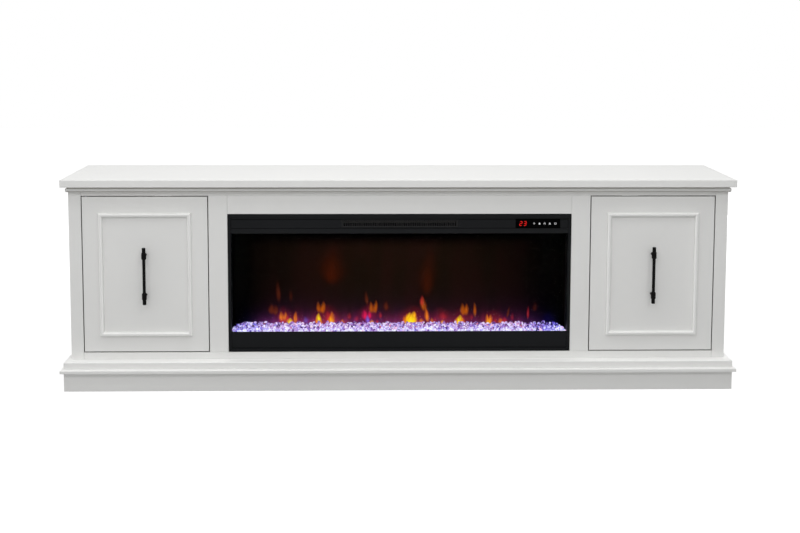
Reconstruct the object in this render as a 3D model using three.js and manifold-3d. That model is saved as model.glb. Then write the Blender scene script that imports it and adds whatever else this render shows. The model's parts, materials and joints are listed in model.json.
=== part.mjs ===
// A fireplace TV stand: a long, low console with an electric fireplace insert between two door bays.
// Millimetres, +Z up, the front faces -Y, and the origin is the middle of the footprint on the floor.
import * as THREE from "three";
import { mergeVertices } from "three/addons/utils/BufferGeometryUtils.js";
import Module from "manifold-3d";

const wasm = await Module();
wasm.setup();

// Fits and cutting
const seam = 0.3;
const cutOverrun = 2;
const weldDistance = 1e-4;
const roundSides = 20;

// Face frame and carcass
const fireOpeningWidth = 1084;
const fireOpeningHeight = 442;
const doorOpeningWidth = 397;
const doorOpeningHeight = 500;
const outerStileWidth = 39;
const centreStileWidth = 59;
const topRailHeight = 30;
const bottomRailHeight = 22;
const frameThickness = 20;
const panelThickness = 18;
const bottomBoardThickness = 22;
const backThickness = 5;

// Top slab and the cornice strip under it
const slabDepth = 400;
const slabThickness = 24;
const slabFrontOverhang = 36;
const slabSideOverhang = 18;
const slabEasing = 1.5;
const corniceHeight = 17;
const corniceFrontProjection = 14;
const corniceSideProjection = 6;
const corniceEasing = 1.2;

// Plinth and the trim strip round its top
const plinthHeight = 60;
const plinthThickness = 18;
const trimHeight = 12;
const trimFrontProjection = 16;
const trimSideProjection = 9;
const trimEasing = 2.5;

// Openings in the back panels
const cableHoleRadius = 30;
const cableHoleRise = 90;
const ventWidth = 640;
const ventHeight = 240;
const ventRise = 120;

// Shelves and the pins that carry them
const shelfThickness = 16;
const shelfRise = 240;
const shelfFrontSetback = 30;
const shelfSideClearance = 1;
const pinRadius = 3.5;
const pinLength = 9;
const pinSink = 6;
const pinInset = 45;

// Doors and their applied mouldings
const doorGap = 3;
const doorThickness = 20;
const doorEasing = 0.8;
const mouldingInset = 50.5;
const mouldingWidth = 13;
const mouldingProjection = 12;
const mouldingEasing = 2.5;

// Bar pulls
const pullLength = 180;
const pullPostSpacing = 128;
const pullStandoff = 30;
const pullBarRadius = 4.85;
const pullTipRadius = 5.7;
const pullCollarRadius = 7.6;
const pullCollarLength = 24;
const pullCollarChamfer = 3.5;
const pullPostRadius = 5;
const pullTipEasing = 1;

// Pivot hinges, let into the rails and the door edges
const pivotInset = 12;
const pivotSetback = 9;
const pivotPinRadius = 2.5;
const pivotPinReach = 11;
const pivotClearance = 0.3;
const hingePlateLength = 44;
const hingePlateWidth = 12;
const hingePlateThickness = 2;
const hingePlateEnd = 6;

// Magnetic catches and strike plates
const catchDepth = 14;
const catchHeight = 14;
const catchDrop = 60;
const strikeLength = 18;
const strikeEdgeMargin = 4;
const strikeHeight = 12;
const strikeThickness = 1.2;

// Fireplace bezel, which faces the insert
const bezelFit = 0.5;
const bezelProud = 1;
const bezelDepth = 8;
const flangeWidth = 9;
const flangeStep = 1.5;
const bezelTopPanel = 62;
const bezelTopLip = 15;
const channelHeight = 32;
const channelDepth = 3;
const bezelLowerLip = 50;
const grooveHeight = 4.5;
const grooveDepth = 4;

// Heater grille and display window, both set in the bezel's channel
const grilleWidth = 370;
const grilleThickness = 2.5;
const grilleRim = 3;
const grilleSlotPitch = 7;
const grilleSlotWidth = 4;
const grilleSlotHeight = 17;
const displayWidth = 142;
const displayEndMargin = 34.5;
const displayRim = 0.5;

// Firebox: a welded sleeve with an ember shelf and a heater floor, closed by a rear cover
const fireboxFit = 4;
const fireboxDepth = 136;
const sheet = 1.5;
const emberShelfDrop = 15;
const heaterFloorRise = 4;
const glassThickness = 4;
const lightSlotLength = 1020;
const lightSlotWidth = 26;
const rearVentCount = 12;
const rearVentPitch = 12;
const rearVentWidth = 4;
const rearVentHeight = 30;
const rearVentDrop = 12;
const rearVentSpreadShare = 0.25;
const supportWidth = 1000;
const supportDepth = 118;

// Ember bed and flame screen
const emberDepth = 66;
const emberBase = 20;
const crystalRadius = 11;
const crystalPitch = 23;
const crystalRows = 3;
const crystalRise = 4;
const crystalScatter = 4;
const crystalSizeShare = 0.25;
const scatterStretch = 12.9898;
const scatterMix = 43758.5453;
const flameScreenThickness = 3;

// Light bar under the embers
const lightBarDepth = 22;
const lightBarHeight = 14;
const lightBarEndMargin = 12;

// Flame rotor and its motor
const rotorBehindScreen = 30;
const rotorRise = 32;
const rotorShaftRadius = 2.5;
const rotorWallReach = 3;
const rotorClearance = 0.3;
const vaneCount = 14;
const vaneLength = 62;
const vaneWidth = 26;
const vaneThickness = 1;
const vaneTurn = 52;
const motorWidth = 34;
const motorDepth = 30;
const motorBoreDepth = 12;
const shaftEndGap = 2;

// Heater case, blower wheel, blower motor and heating element
const heaterWidth = 380;
const heaterDepth = 112;
const heaterFrontGap = 4;
const heaterWall = 1.5;
const wheelRadius = 18;
const wheelBehindFront = 76;
const wheelEndGap = 6;
const wheelDisc = 2;
const wheelDiscCount = 3;
const bladeCount = 16;
const bladeDepth = 6;
const bladeThickness = 1.2;
const bladeTilt = 30;
const wheelShaftRadius = 3;
const wheelClearance = 0.3;
const wheelWallReach = 3;
const wheelShaftEndGap = 2;
const blowerMotorRadius = 17;
const blowerMotorLength = 30;
const blowerBoreDepth = 12;
const elementBehindFront = 24;
const elementDepth = 14;
const elementCoreHeight = 6;
const finCount = 24;
const finHeight = 26;
const finThickness = 1.6;

// Control board and mains inlet
const boardWidth = 132;
const boardHeight = 27;
const boardThickness = 1.6;
const boardPartDepth = 9;
const boardPartWidth = 18;
const boardPartHeight = 18;
const boardPartShares = [-0.3, 0, 0.32];
const inletWidth = 30;
const inletHeight = 22;
const inletDepth = 24;
const inletFlange = 5;
const inletFlangeThickness = 2.5;
const inletSideMargin = 70;
const inletRise = 24;
const inletMouthDepth = 14;
const inletWall = 3;

// Heights that follow from the sizes above
const bottomBoardLow = plinthHeight + trimHeight;
const carcassLow = bottomBoardLow + bottomBoardThickness;
const openingLow = carcassLow + bottomRailHeight;
const openingHigh = openingLow + doorOpeningHeight;
const fireHigh = openingLow + fireOpeningHeight;
const slabLow = openingHigh + topRailHeight;
const overallHeight = slabLow + slabThickness;

// Widths that follow, as distances from the middle
const fireHalf = fireOpeningWidth / 2;
const doorNear = fireHalf + centreStileWidth;
const doorFar = doorNear + doorOpeningWidth;
const carcassHalf = doorFar + outerStileWidth;
const slabHalf = carcassHalf + slabSideOverhang;
const partitionMiddle = fireHalf + centreStileWidth / 2;
const partitionNear = partitionMiddle - panelThickness / 2;
const partitionFar = partitionMiddle + panelThickness / 2;
const sidePanelNear = carcassHalf - panelThickness;

// Depths that follow
const backPlane = (slabDepth + trimFrontProjection) / 2;
const slabFront = backPlane - slabDepth;
const frameFront = slabFront + slabFrontOverhang;
const frameBack = frameFront + frameThickness;
const backPanelFront = backPlane - backThickness;
const doorBack = frameFront + doorThickness;

// Insert places that follow
const bezelFront = frameFront - bezelProud;
const bezelBack = bezelFront + bezelDepth;
const bezelHalf = fireHalf - bezelFit;
const bezelLow = openingLow + bezelFit;
const bezelHigh = fireHigh - bezelFit;
const viewHalf = bezelHalf - flangeWidth;
const grooveLow = bezelLow + flangeWidth;
const viewLow = grooveLow + grooveHeight + bezelLowerLip;
const viewHigh = bezelHigh - bezelTopPanel;
const channelHigh = bezelHigh - bezelTopLip;
const channelLow = channelHigh - channelHeight;
const channelFace = bezelFront + flangeStep + channelDepth;
const fireboxFront = bezelBack + seam;
const fireboxBack = fireboxFront + fireboxDepth;
const fireboxHalf = fireHalf - fireboxFit;
const fireboxInner = fireboxHalf - sheet;
const fireboxLow = openingLow + fireboxFit;
const fireboxHigh = fireHigh - fireboxFit;
const shelfTop = viewLow - emberShelfDrop;
const heaterFloorLow = viewHigh + heaterFloorRise;
const heaterFloorHigh = heaterFloorLow + sheet;
const glassFront = fireboxFront;
const emberFront = glassFront + glassThickness + seam;
const screenFront = emberFront + emberDepth + seam;
const rotorY = screenFront + flameScreenThickness + rotorBehindScreen;
const rotorZ = shelfTop + rotorRise;
const heaterFront = fireboxFront + heaterFrontGap;
const heaterLow = heaterFloorHigh + seam;
const heaterHigh = fireboxHigh - sheet - seam;
const wheelY = heaterFront + wheelBehindFront;
const wheelZ = (heaterLow + heaterHigh) / 2;

// Finishes
function finish(color, roughness, metalness = 0) {
  return new THREE.MeshStandardMaterial({ color, roughness, metalness });
}
const whitePaint = finish(0xf0f0ee, 0.45);
const insidePaint = finish(0xe6e6e2, 0.6);
const rawBoard = finish(0xc9b18c, 0.8);
const blackMetal = finish(0x16171a, 0.5, 0.4);
const blackHardware = finish(0x050505, 0.35, 0.6);
const steel = finish(0xb8babd, 0.35, 0.9);
const darkGlass = finish(0x020203, 0.05);
const crystal = finish(0xdcd6ff, 0.1);
const smokedScreen = finish(0x0a0808, 0.3);
const blackPlastic = finish(0x0b0b0c, 0.4);
const greenBoard = finish(0x1d5a38, 0.6);

// Solids

/** A closed geometry as a solid that can be joined and cut. */
function solidOf(geometry) {
  const bare = geometry.index ? geometry.toNonIndexed() : geometry.clone();
  bare.deleteAttribute("normal");
  bare.deleteAttribute("uv");
  const merged = mergeVertices(bare, weldDistance);
  return new wasm.Manifold(
    new wasm.Mesh({
      numProp: 3,
      vertProperties: merged.attributes.position.array,
      triVerts: new Uint32Array(merged.index.array),
    }),
  );
}

/** The surface of a joined or cut solid, back as a geometry. */
function geometryOf(solid) {
  const mesh = solid.getMesh();
  const points = new Float32Array(mesh.numVert * 3);
  for (let i = 0; i < mesh.numVert; i++) {
    const start = i * mesh.numProp;
    points.set(mesh.vertProperties.subarray(start, start + 3), i * 3);
  }
  return new THREE.BufferGeometry()
    .setAttribute("position", new THREE.BufferAttribute(points, 3))
    .setIndex(new THREE.BufferAttribute(mesh.triVerts, 1));
}

/** One geometry with others joined to it. */
function joined(base, ...others) {
  const whole = others.reduce((sum, part) => sum.add(solidOf(part)), solidOf(base));
  return geometryOf(whole);
}

/** One geometry with others cut out of it. */
function cut(base, ...others) {
  const whole = others.reduce((rest, part) => rest.subtract(solidOf(part)), solidOf(base));
  return geometryOf(whole);
}

/** A box between a low and a high bound along each axis. */
function block(x, y, z) {
  const box = new THREE.BoxGeometry(x[1] - x[0], y[1] - y[0], z[1] - z[0]);
  return box.translate((x[0] + x[1]) / 2, (y[0] + y[1]) / 2, (z[0] + z[1]) / 2);
}

/** An upright prism of a flat outline, with its top and bottom edges eased. */
function easedPrism(outline, z, easing) {
  const prism = new THREE.ExtrudeGeometry(new THREE.Shape(outline), {
    depth: z[1] - z[0] - 2 * easing,
    bevelThickness: easing,
    bevelSize: easing,
    bevelOffset: -easing,
    bevelSegments: 2,
  });
  return prism.translate(0, 0, z[0] + easing);
}

/** A rod along an axis, centred on a point. */
function rod(axis, radius, length, centre, sides = roundSides) {
  const shape = new THREE.CylinderGeometry(radius, radius, length, sides);
  if (axis === "x") shape.rotateZ(-Math.PI / 2);
  if (axis === "z") shape.rotateX(Math.PI / 2);
  return shape.translate(...centre);
}

/** Bounds of a piece on one side of the middle: side is -1 for left and 1 for right. */
function onSide(side, near, far) {
  return side < 0 ? [-far, -near] : [near, far];
}

/** Bounds that reach the same distance both ways. */
function across(half) {
  return [-half, half];
}

/** Bounds of a given size about a middle. */
function about(middle, size) {
  return [middle - size / 2, middle + size / 2];
}

/** A U-shaped strip that wraps the front and both sides of a body, open at the back. */
function wrapStrip(outerHalf, outerFront, innerHalf, innerFront, z, easing) {
  const outline = [
    new THREE.Vector2(-outerHalf, backPlane),
    new THREE.Vector2(-outerHalf, outerFront),
    new THREE.Vector2(outerHalf, outerFront),
    new THREE.Vector2(outerHalf, backPlane),
    new THREE.Vector2(innerHalf, backPlane),
    new THREE.Vector2(innerHalf, innerFront),
    new THREE.Vector2(-innerHalf, innerFront),
    new THREE.Vector2(-innerHalf, backPlane),
  ];
  return easedPrism(outline, z, easing);
}

/** A profile carried round a rectangle in the XZ plane with mitred corners, standing towards -Y. */
function mitredFrame(profile, half, base) {
  const corners = [[-1, -1], [1, -1], [1, 1], [-1, 1]];
  const points = [];
  const faces = [];
  profile.forEach(([inset, proud], p) => {
    corners.forEach(([sx, sz], c) => {
      points.push(sx * (half[0] - inset), base - proud, sz * (half[1] - inset));
      const nextRow = ((p + 1) % profile.length) * corners.length;
      const row = p * corners.length;
      const nextCorner = (c + 1) % corners.length;
      faces.push(row + c, nextRow + nextCorner, row + nextCorner);
      faces.push(row + c, nextRow + c, nextRow + nextCorner);
    });
  });
  return new THREE.BufferGeometry()
    .setAttribute("position", new THREE.BufferAttribute(new Float32Array(points), 3))
    .setIndex(faces);
}

// The stand

const stand = new THREE.Group();
const sides = [
  { word: "left", sign: -1 },
  { word: "right", sign: 1 },
];

function place(name, geometry, material) {
  const mesh = new THREE.Mesh(geometry, material);
  mesh.name = name;
  stand.add(mesh);
  return mesh;
}

// Rows of pins that carry a shelf, on one upright's face
function shelfPins(faceX, inward) {
  const shelfFront = frameBack + shelfFrontSetback;
  const pinZ = carcassLow + shelfRise - seam - pinRadius;
  const middleX = faceX + (inward * (pinLength - pinSink)) / 2;
  return [shelfFront + pinInset, backPanelFront - pinInset].map((y) =>
    rod("x", pinRadius, pinLength + pinSink, [middleX, y, pinZ]),
  );
}

function addTop() {
  const corners = [
    new THREE.Vector2(-slabHalf, slabFront),
    new THREE.Vector2(slabHalf, slabFront),
    new THREE.Vector2(slabHalf, backPlane),
    new THREE.Vector2(-slabHalf, backPlane),
  ];
  place("top_slab", easedPrism(corners, [slabLow + seam, overallHeight], slabEasing), whitePaint);
  const cornice = wrapStrip(
    carcassHalf + corniceSideProjection,
    frameFront - corniceFrontProjection,
    carcassHalf + seam,
    frameFront - seam,
    [slabLow - corniceHeight, slabLow],
    corniceEasing,
  );
  place("cornice", cornice, whitePaint);
}

function addCarcass() {
  const depth = [frameBack + seam, backPlane];
  const height = [carcassLow + seam, slabLow];
  const boardZ = [bottomBoardLow, carcassLow];
  place("bottom_board", block(across(slabHalf), [slabFront, backPlane], boardZ), whitePaint);
  for (const { word, sign } of sides) {
    const sidePanel = block(onSide(sign, sidePanelNear, carcassHalf), depth, height);
    const sidePins = shelfPins(sign * sidePanelNear, -sign);
    place(`side_panel_${word}`, joined(sidePanel, ...sidePins), whitePaint);
    const partition = block(onSide(sign, partitionNear, partitionFar), depth, height);
    const partitionPins = shelfPins(sign * partitionFar, sign);
    place(`partition_${word}`, joined(partition, ...partitionPins), insidePaint);
    const bayNear = partitionFar + seam;
    const bayFar = sidePanelNear - seam;
    const shelf = block(
      onSide(sign, partitionFar + shelfSideClearance, sidePanelNear - shelfSideClearance),
      [frameBack + shelfFrontSetback, backPanelFront - seam],
      [carcassLow + shelfRise, carcassLow + shelfRise + shelfThickness],
    );
    place(`shelf_${word}`, shelf, insidePaint);
    const backPanel = block(onSide(sign, bayNear, bayFar), [backPanelFront, backPlane], height);
    const holeX = (sign * (bayNear + bayFar)) / 2;
    const holeLength = backThickness + 2 * cutOverrun;
    const backMiddle = (backPanelFront + backPlane) / 2;
    const upperHole = [holeX, backMiddle, slabLow - cableHoleRise];
    const lowerHole = [holeX, backMiddle, carcassLow + cableHoleRise];
    const holes = [upperHole, lowerHole].map((centre) =>
      rod("y", cableHoleRadius, holeLength, centre),
    );
    place(`back_panel_${word}`, cut(backPanel, ...holes), rawBoard);
  }
  const centreBack = block(across(partitionNear - seam), [backPanelFront, backPlane], height);
  const vent = block(
    across(ventWidth / 2),
    [backPanelFront - cutOverrun, backPlane + cutOverrun],
    [carcassLow + ventRise, carcassLow + ventRise + ventHeight],
  );
  place("back_panel_centre", cut(centreBack, vent), rawBoard);
}

// The outline of a hinge plate, or of the mortise that it is let into when nothing is taken off
function hingePlate(sign, z, takenOff = 0) {
  const far = doorFar - doorGap - pivotInset + hingePlateEnd - takenOff;
  const near = doorFar - doorGap - pivotInset + hingePlateEnd - hingePlateLength + takenOff;
  const y = about(frameFront + pivotSetback, hingePlateWidth - 2 * takenOff);
  return block(onSide(sign, near, far), y, z);
}

function pivotX(sign) {
  return sign * (doorFar - doorGap - pivotInset);
}

function addFaceFrame() {
  const y = [frameFront, frameBack];
  const railX = across(doorFar - seam);
  for (const { word, sign } of sides) {
    const outer = block(onSide(sign, doorFar, carcassHalf), y, [carcassLow + seam, slabLow]);
    place(`outer_stile_${word}`, outer, whitePaint);
    const centre = block(onSide(sign, fireHalf, doorNear), y, [openingLow + seam, openingHigh - seam]);
    place(`centre_stile_${word}`, centre, whitePaint);
  }
  const topMortises = sides.map(({ sign }) =>
    hingePlate(sign, [openingHigh - cutOverrun, openingHigh + hingePlateThickness]),
  );
  const bottomMortises = sides.map(({ sign }) =>
    hingePlate(sign, [openingLow - hingePlateThickness, openingLow + cutOverrun]),
  );
  const topRail = block(railX, y, [openingHigh, slabLow]);
  place("top_rail", cut(topRail, ...topMortises), whitePaint);
  const bottomRail = block(railX, y, [carcassLow + seam, openingLow]);
  place("bottom_rail", cut(bottomRail, ...bottomMortises), whitePaint);
  place("header_board", block(across(fireHalf - seam), y, [fireHigh, openingHigh - seam]), whitePaint);
}

function addBase() {
  const plinthZ = [0, bottomBoardLow - seam];
  const innerFront = slabFront + plinthThickness;
  const innerBack = backPlane - plinthThickness;
  place("plinth_front", block(across(slabHalf), [slabFront, innerFront], plinthZ), whitePaint);
  for (const { word, sign } of sides) {
    const x = onSide(sign, slabHalf - plinthThickness, slabHalf);
    place(`plinth_${word}`, block(x, [innerFront + seam, backPlane], plinthZ), whitePaint);
  }
  const backX = across(slabHalf - plinthThickness - seam);
  place("plinth_back", block(backX, [innerBack, backPlane], plinthZ), whitePaint);
  const trim = wrapStrip(
    slabHalf + trimSideProjection,
    slabFront - trimFrontProjection,
    slabHalf + seam,
    slabFront - seam,
    [plinthHeight, bottomBoardLow],
    trimEasing,
  );
  place("base_trim", trim, whitePaint);
}

// Doors

function addDoorPanel(word, sign) {
  const x = onSide(sign, doorNear + doorGap, doorFar - doorGap);
  const low = openingLow + doorGap;
  const high = openingHigh - doorGap;
  const upright = [
    new THREE.Vector2(x[0], low),
    new THREE.Vector2(x[1], low),
    new THREE.Vector2(x[1], high),
    new THREE.Vector2(x[0], high),
  ];
  const flat = easedPrism(upright, [-doorBack, -frameFront], doorEasing);
  const panel = flat.rotateX(Math.PI / 2);
  const pin = [pivotX(sign), frameFront + pivotSetback];
  const drillRadius = pivotPinRadius + pivotClearance;
  const drillLength = 2 * (pivotPinReach + cutOverrun);
  const cuts = [
    hingePlate(sign, [high - hingePlateThickness, high + cutOverrun]),
    hingePlate(sign, [low - cutOverrun, low + hingePlateThickness]),
    rod("z", drillRadius, drillLength, [...pin, high]),
    rod("z", drillRadius, drillLength, [...pin, low]),
  ];
  place(`door_${word}`, cut(panel, ...cuts), whitePaint);
}

function addDoorMoulding(word, sign) {
  const profile = [
    [0, 0],
    [mouldingWidth, 0],
    [mouldingWidth, mouldingProjection - mouldingEasing],
    [mouldingWidth - mouldingEasing, mouldingProjection],
    [mouldingEasing, mouldingProjection],
    [0, mouldingProjection - mouldingEasing],
  ];
  const half = [
    (doorOpeningWidth - 2 * doorGap) / 2 - mouldingInset,
    (doorOpeningHeight - 2 * doorGap) / 2 - mouldingInset,
  ];
  const frame = mitredFrame(profile, half, frameFront - seam);
  const middleZ = (openingLow + openingHigh) / 2;
  frame.translate((sign * (doorNear + doorFar)) / 2, 0, middleZ);
  place(`door_${word}_moulding`, frame, whitePaint);
}

// The pull's bar as a turned profile: tip, collar, bar, collar, tip
function pullBar(centre) {
  const half = pullLength / 2;
  const collarMiddle = pullPostSpacing / 2;
  const collarEnd = pullCollarLength / 2;
  const halfProfile = [
    [pullBarRadius, collarMiddle - collarEnd],
    [pullCollarRadius, collarMiddle - collarEnd + pullCollarChamfer],
    [pullCollarRadius, collarMiddle + collarEnd - pullCollarChamfer],
    [pullTipRadius, collarMiddle + collarEnd],
    [pullTipRadius, half - pullTipEasing],
    [pullTipRadius - pullTipEasing, half],
    [0, half],
  ];
  const lower = halfProfile.map(([r, z]) => new THREE.Vector2(r, -z)).reverse();
  const upper = halfProfile.map(([r, z]) => new THREE.Vector2(r, z));
  const turned = new THREE.LatheGeometry([...lower, ...upper], roundSides);
  return turned.rotateX(Math.PI / 2).translate(...centre);
}

function addPull(word, sign) {
  const centre = [
    (sign * (doorNear + doorFar)) / 2,
    frameFront - pullStandoff,
    (openingLow + openingHigh) / 2,
  ];
  const posts = [-1, 1].map((end) =>
    rod("y", pullPostRadius, pullStandoff - seam, [
      centre[0],
      centre[1] + (pullStandoff - seam) / 2,
      centre[2] + (end * pullPostSpacing) / 2,
    ]),
  );
  place(`door_${word}_pull`, joined(pullBar(centre), ...posts), blackHardware);
}

function addHinges(word, sign) {
  const pin = [pivotX(sign), frameFront + pivotSetback];
  const sorted = (a, b) => [Math.min(a, b), Math.max(a, b)];
  const letIn = hingePlateThickness - seam;
  const ends = [
    { name: "top", rail: openingHigh, door: openingHigh - doorGap, into: -1 },
    { name: "bottom", rail: openingLow, door: openingLow + doorGap, into: 1 },
  ];
  for (const { name, rail, door, into } of ends) {
    const tip = rail + into * (doorGap + pivotPinReach);
    const root = rail - (into * hingePlateThickness) / 2;
    const pinShape = rod("z", pivotPinRadius, Math.abs(tip - root), [...pin, (tip + root) / 2]);
    const plate = hingePlate(sign, sorted(rail, rail - into * letIn), seam);
    place(`hinge_pin_plate_${word}_${name}`, joined(plate, pinShape), steel);
    const leaf = hingePlate(sign, sorted(door, door + into * letIn), seam);
    const holeLength = 2 * (hingePlateThickness + cutOverrun);
    const hole = rod("z", pivotPinRadius + pivotClearance, holeLength, [...pin, door]);
    place(`door_${word}_hinge_leaf_${name}`, cut(leaf, hole), steel);
  }
}

function addCatch(word, sign) {
  const z = openingHigh - catchDrop;
  const strikeBack = doorBack + seam + strikeThickness;
  const strikeNear = doorNear + doorGap + strikeEdgeMargin;
  const strikeFar = strikeNear + strikeLength;
  const catchY = [strikeBack + seam, strikeBack + seam + catchDepth];
  const body = block(onSide(sign, partitionFar + seam, strikeFar), catchY, about(z, catchHeight));
  place(`catch_${word}`, body, blackPlastic);
  const strikeX = onSide(sign, strikeNear, strikeFar);
  const strike = block(strikeX, [doorBack + seam, strikeBack], about(z, strikeHeight));
  place(`door_${word}_strike`, strike, steel);
}

// Fireplace insert

function displaySpan(takenOff) {
  const right = bezelHalf - displayEndMargin;
  return [right - displayWidth + takenOff, right - takenOff];
}

function addBezel() {
  const through = [bezelFront - cutOverrun, bezelBack + cutOverrun];
  const whole = block(across(bezelHalf), [bezelFront, bezelBack], [bezelLow, bezelHigh]);
  const innerFace = bezelFront + flangeStep;
  const view = across(viewHalf);
  const inside = [bezelLow + flangeWidth, bezelHigh - flangeWidth];
  const grooveZ = [grooveLow, grooveLow + grooveHeight];
  const cuts = [
    block(view, [through[0], innerFace], inside),
    block(view, through, [viewLow, viewHigh]),
    block(view, [through[0], channelFace], [channelLow, channelHigh]),
    block(view, [through[0], innerFace + grooveDepth], grooveZ),
    block(across(grilleWidth / 2), through, [channelLow + grilleRim, channelHigh - grilleRim]),
    block(displaySpan(0), through, [channelLow + displayRim, channelHigh - displayRim]),
  ];
  place("fire_bezel", cut(whole, ...cuts), blackMetal);
}

function addGrille() {
  const low = channelLow + grilleRim + seam;
  const high = channelHigh - grilleRim - seam;
  const y = [bezelBack - grilleThickness, bezelBack];
  const through = [y[0] - cutOverrun, y[1] + cutOverrun];
  const slotHigh = high - grilleRim;
  const slotCount = Math.floor((grilleWidth - 2 * grilleRim) / grilleSlotPitch) - 1;
  const slots = Array.from({ length: slotCount }, (_, i) =>
    block(
      about((i - (slotCount - 1) / 2) * grilleSlotPitch, grilleSlotWidth),
      through,
      [slotHigh - grilleSlotHeight, slotHigh],
    ),
  );
  const plate = block(across(grilleWidth / 2 - seam), y, [low, high]);
  place("heater_grille", cut(plate, ...slots), blackPlastic);
}

function addDisplay() {
  const rim = displayRim + seam;
  const z = [channelLow + rim, channelHigh - rim];
  const window = block(displaySpan(seam), [channelFace, bezelBack], z);
  place("display_window", window, darkGlass);
  const middle = (displaySpan(0)[0] + displaySpan(0)[1]) / 2;
  const boardZ = (channelLow + channelHigh) / 2;
  const boardFront = bezelBack + seam;
  const boardBack = boardFront + boardThickness;
  const board = block(about(middle, boardWidth), [boardFront, boardBack], about(boardZ, boardHeight));
  const partsOnBoard = boardPartShares.map((share) =>
    block(
      about(middle + share * boardWidth, boardPartWidth),
      [boardBack - boardThickness / 2, boardBack + boardPartDepth],
      about(boardZ, boardPartHeight),
    ),
  );
  place("control_board", joined(board, ...partsOnBoard), greenBoard);
}

function addFirebox() {
  const y = [fireboxFront, fireboxBack];
  const through = [fireboxFront - cutOverrun, fireboxBack + cutOverrun];
  const inner = across(fireboxInner);
  const slotMiddle = emberFront + emberDepth / 2;
  const whole = block(across(fireboxHalf), y, [fireboxLow, fireboxHigh]);
  const bearing = [-(fireboxHalf - sheet / 2), rotorY, rotorZ];
  const cuts = [
    block(inner, through, [fireboxLow + sheet, shelfTop - sheet]),
    block(inner, through, [shelfTop, heaterFloorLow]),
    block(inner, through, [heaterFloorHigh, fireboxHigh - sheet]),
    block(
      across(lightSlotLength / 2),
      about(slotMiddle, lightSlotWidth),
      [shelfTop - sheet - cutOverrun, shelfTop + cutOverrun],
    ),
    rod("x", rotorShaftRadius + rotorClearance, sheet + 2 * cutOverrun, bearing),
  ];
  place("firebox", cut(whole, ...cuts), blackMetal);
  const lining = across(fireboxInner - seam);
  const viewZ = [shelfTop + seam, heaterFloorLow - seam];
  place("fire_glass", block(lining, [glassFront, glassFront + glassThickness], viewZ), darkGlass);
  const screenY = [screenFront, screenFront + flameScreenThickness];
  place("flame_screen", block(lining, screenY, viewZ), smokedScreen);
  const barX = across(fireboxInner - lightBarEndMargin);
  const barLow = fireboxLow + sheet + seam;
  const bar = block(barX, about(slotMiddle, lightBarDepth), [barLow, barLow + lightBarHeight]);
  place("ember_light_bar", bar, blackPlastic);
  const supportY = [frameBack + seam, frameBack + seam + supportDepth];
  const support = block(across(supportWidth / 2), supportY, [carcassLow + seam, fireboxLow - seam]);
  place("fire_support", support, rawBoard);
}

// A repeatable scatter between -1 and 1 for the crystals
function scatter(seed) {
  const wave = Math.sin(seed * scatterStretch) * scatterMix;
  return 2 * (wave - Math.floor(wave)) - 1;
}

function addEmberBed() {
  const x = across(fireboxInner - seam);
  const y = [emberFront, emberFront + emberDepth];
  const bedTop = shelfTop + seam + emberBase;
  const columns = Math.floor((2 * fireboxInner) / crystalPitch);
  const rowPitch = emberDepth / crystalRows;
  const crystals = [];
  for (let row = 0; row < crystalRows; row++) {
    for (let column = 0; column < columns; column++) {
      const seed = 1 + row * columns + column;
      const shape = new THREE.OctahedronGeometry(crystalRadius);
      shape.scale(1 + scatter(seed) * crystalSizeShare, 1, 1 + scatter(seed + columns) * crystalSizeShare);
      shape.rotateY(scatter(seed * 2) * Math.PI);
      shape.rotateX(scatter(seed * 3) * Math.PI);
      shape.translate(
        (column - (columns - 1) / 2) * crystalPitch + scatter(seed * 5) * crystalScatter,
        emberFront + (row + 1 / 2) * rowPitch + scatter(seed * 7) * crystalScatter,
        bedTop + scatter(seed * 11) * crystalRise,
      );
      crystals.push(shape);
    }
  }
  const bed = block(x, y, [shelfTop + seam, bedTop]);
  const heap = joined(bed, ...crystals);
  const room = block(x, y, [shelfTop + seam, bedTop + crystalRise + 2 * crystalRadius]);
  place("ember_bed", geometryOf(solidOf(heap).intersect(solidOf(room))), crystal);
}

function addRotor() {
  const motorFar = fireboxInner - seam;
  const motorNear = motorFar - motorWidth;
  const body = block([motorNear, motorFar], about(rotorY, motorDepth), about(rotorZ, motorDepth));
  const bore = rod("x", rotorShaftRadius + rotorClearance, 2 * motorBoreDepth, [motorNear, rotorY, rotorZ]);
  place("flame_rotor_motor", cut(body, bore), steel);
  const shaftX = [-(fireboxHalf + rotorWallReach), motorNear + motorBoreDepth - shaftEndGap];
  const shaftLength = shaftX[1] - shaftX[0];
  const shaft = rod("x", rotorShaftRadius, shaftLength, [(shaftX[0] + shaftX[1]) / 2, rotorY, rotorZ]);
  const pitch = (motorNear + fireboxInner) / vaneCount;
  const vanes = Array.from({ length: vaneCount }, (_, i) => {
    const vane = new THREE.BoxGeometry(vaneLength, vaneWidth, vaneThickness);
    vane.rotateX(THREE.MathUtils.degToRad(i * vaneTurn));
    return vane.translate(-fireboxInner + (i + 1 / 2) * pitch, rotorY, rotorZ);
  });
  place("flame_rotor", joined(shaft, ...vanes), steel);
}

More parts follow.
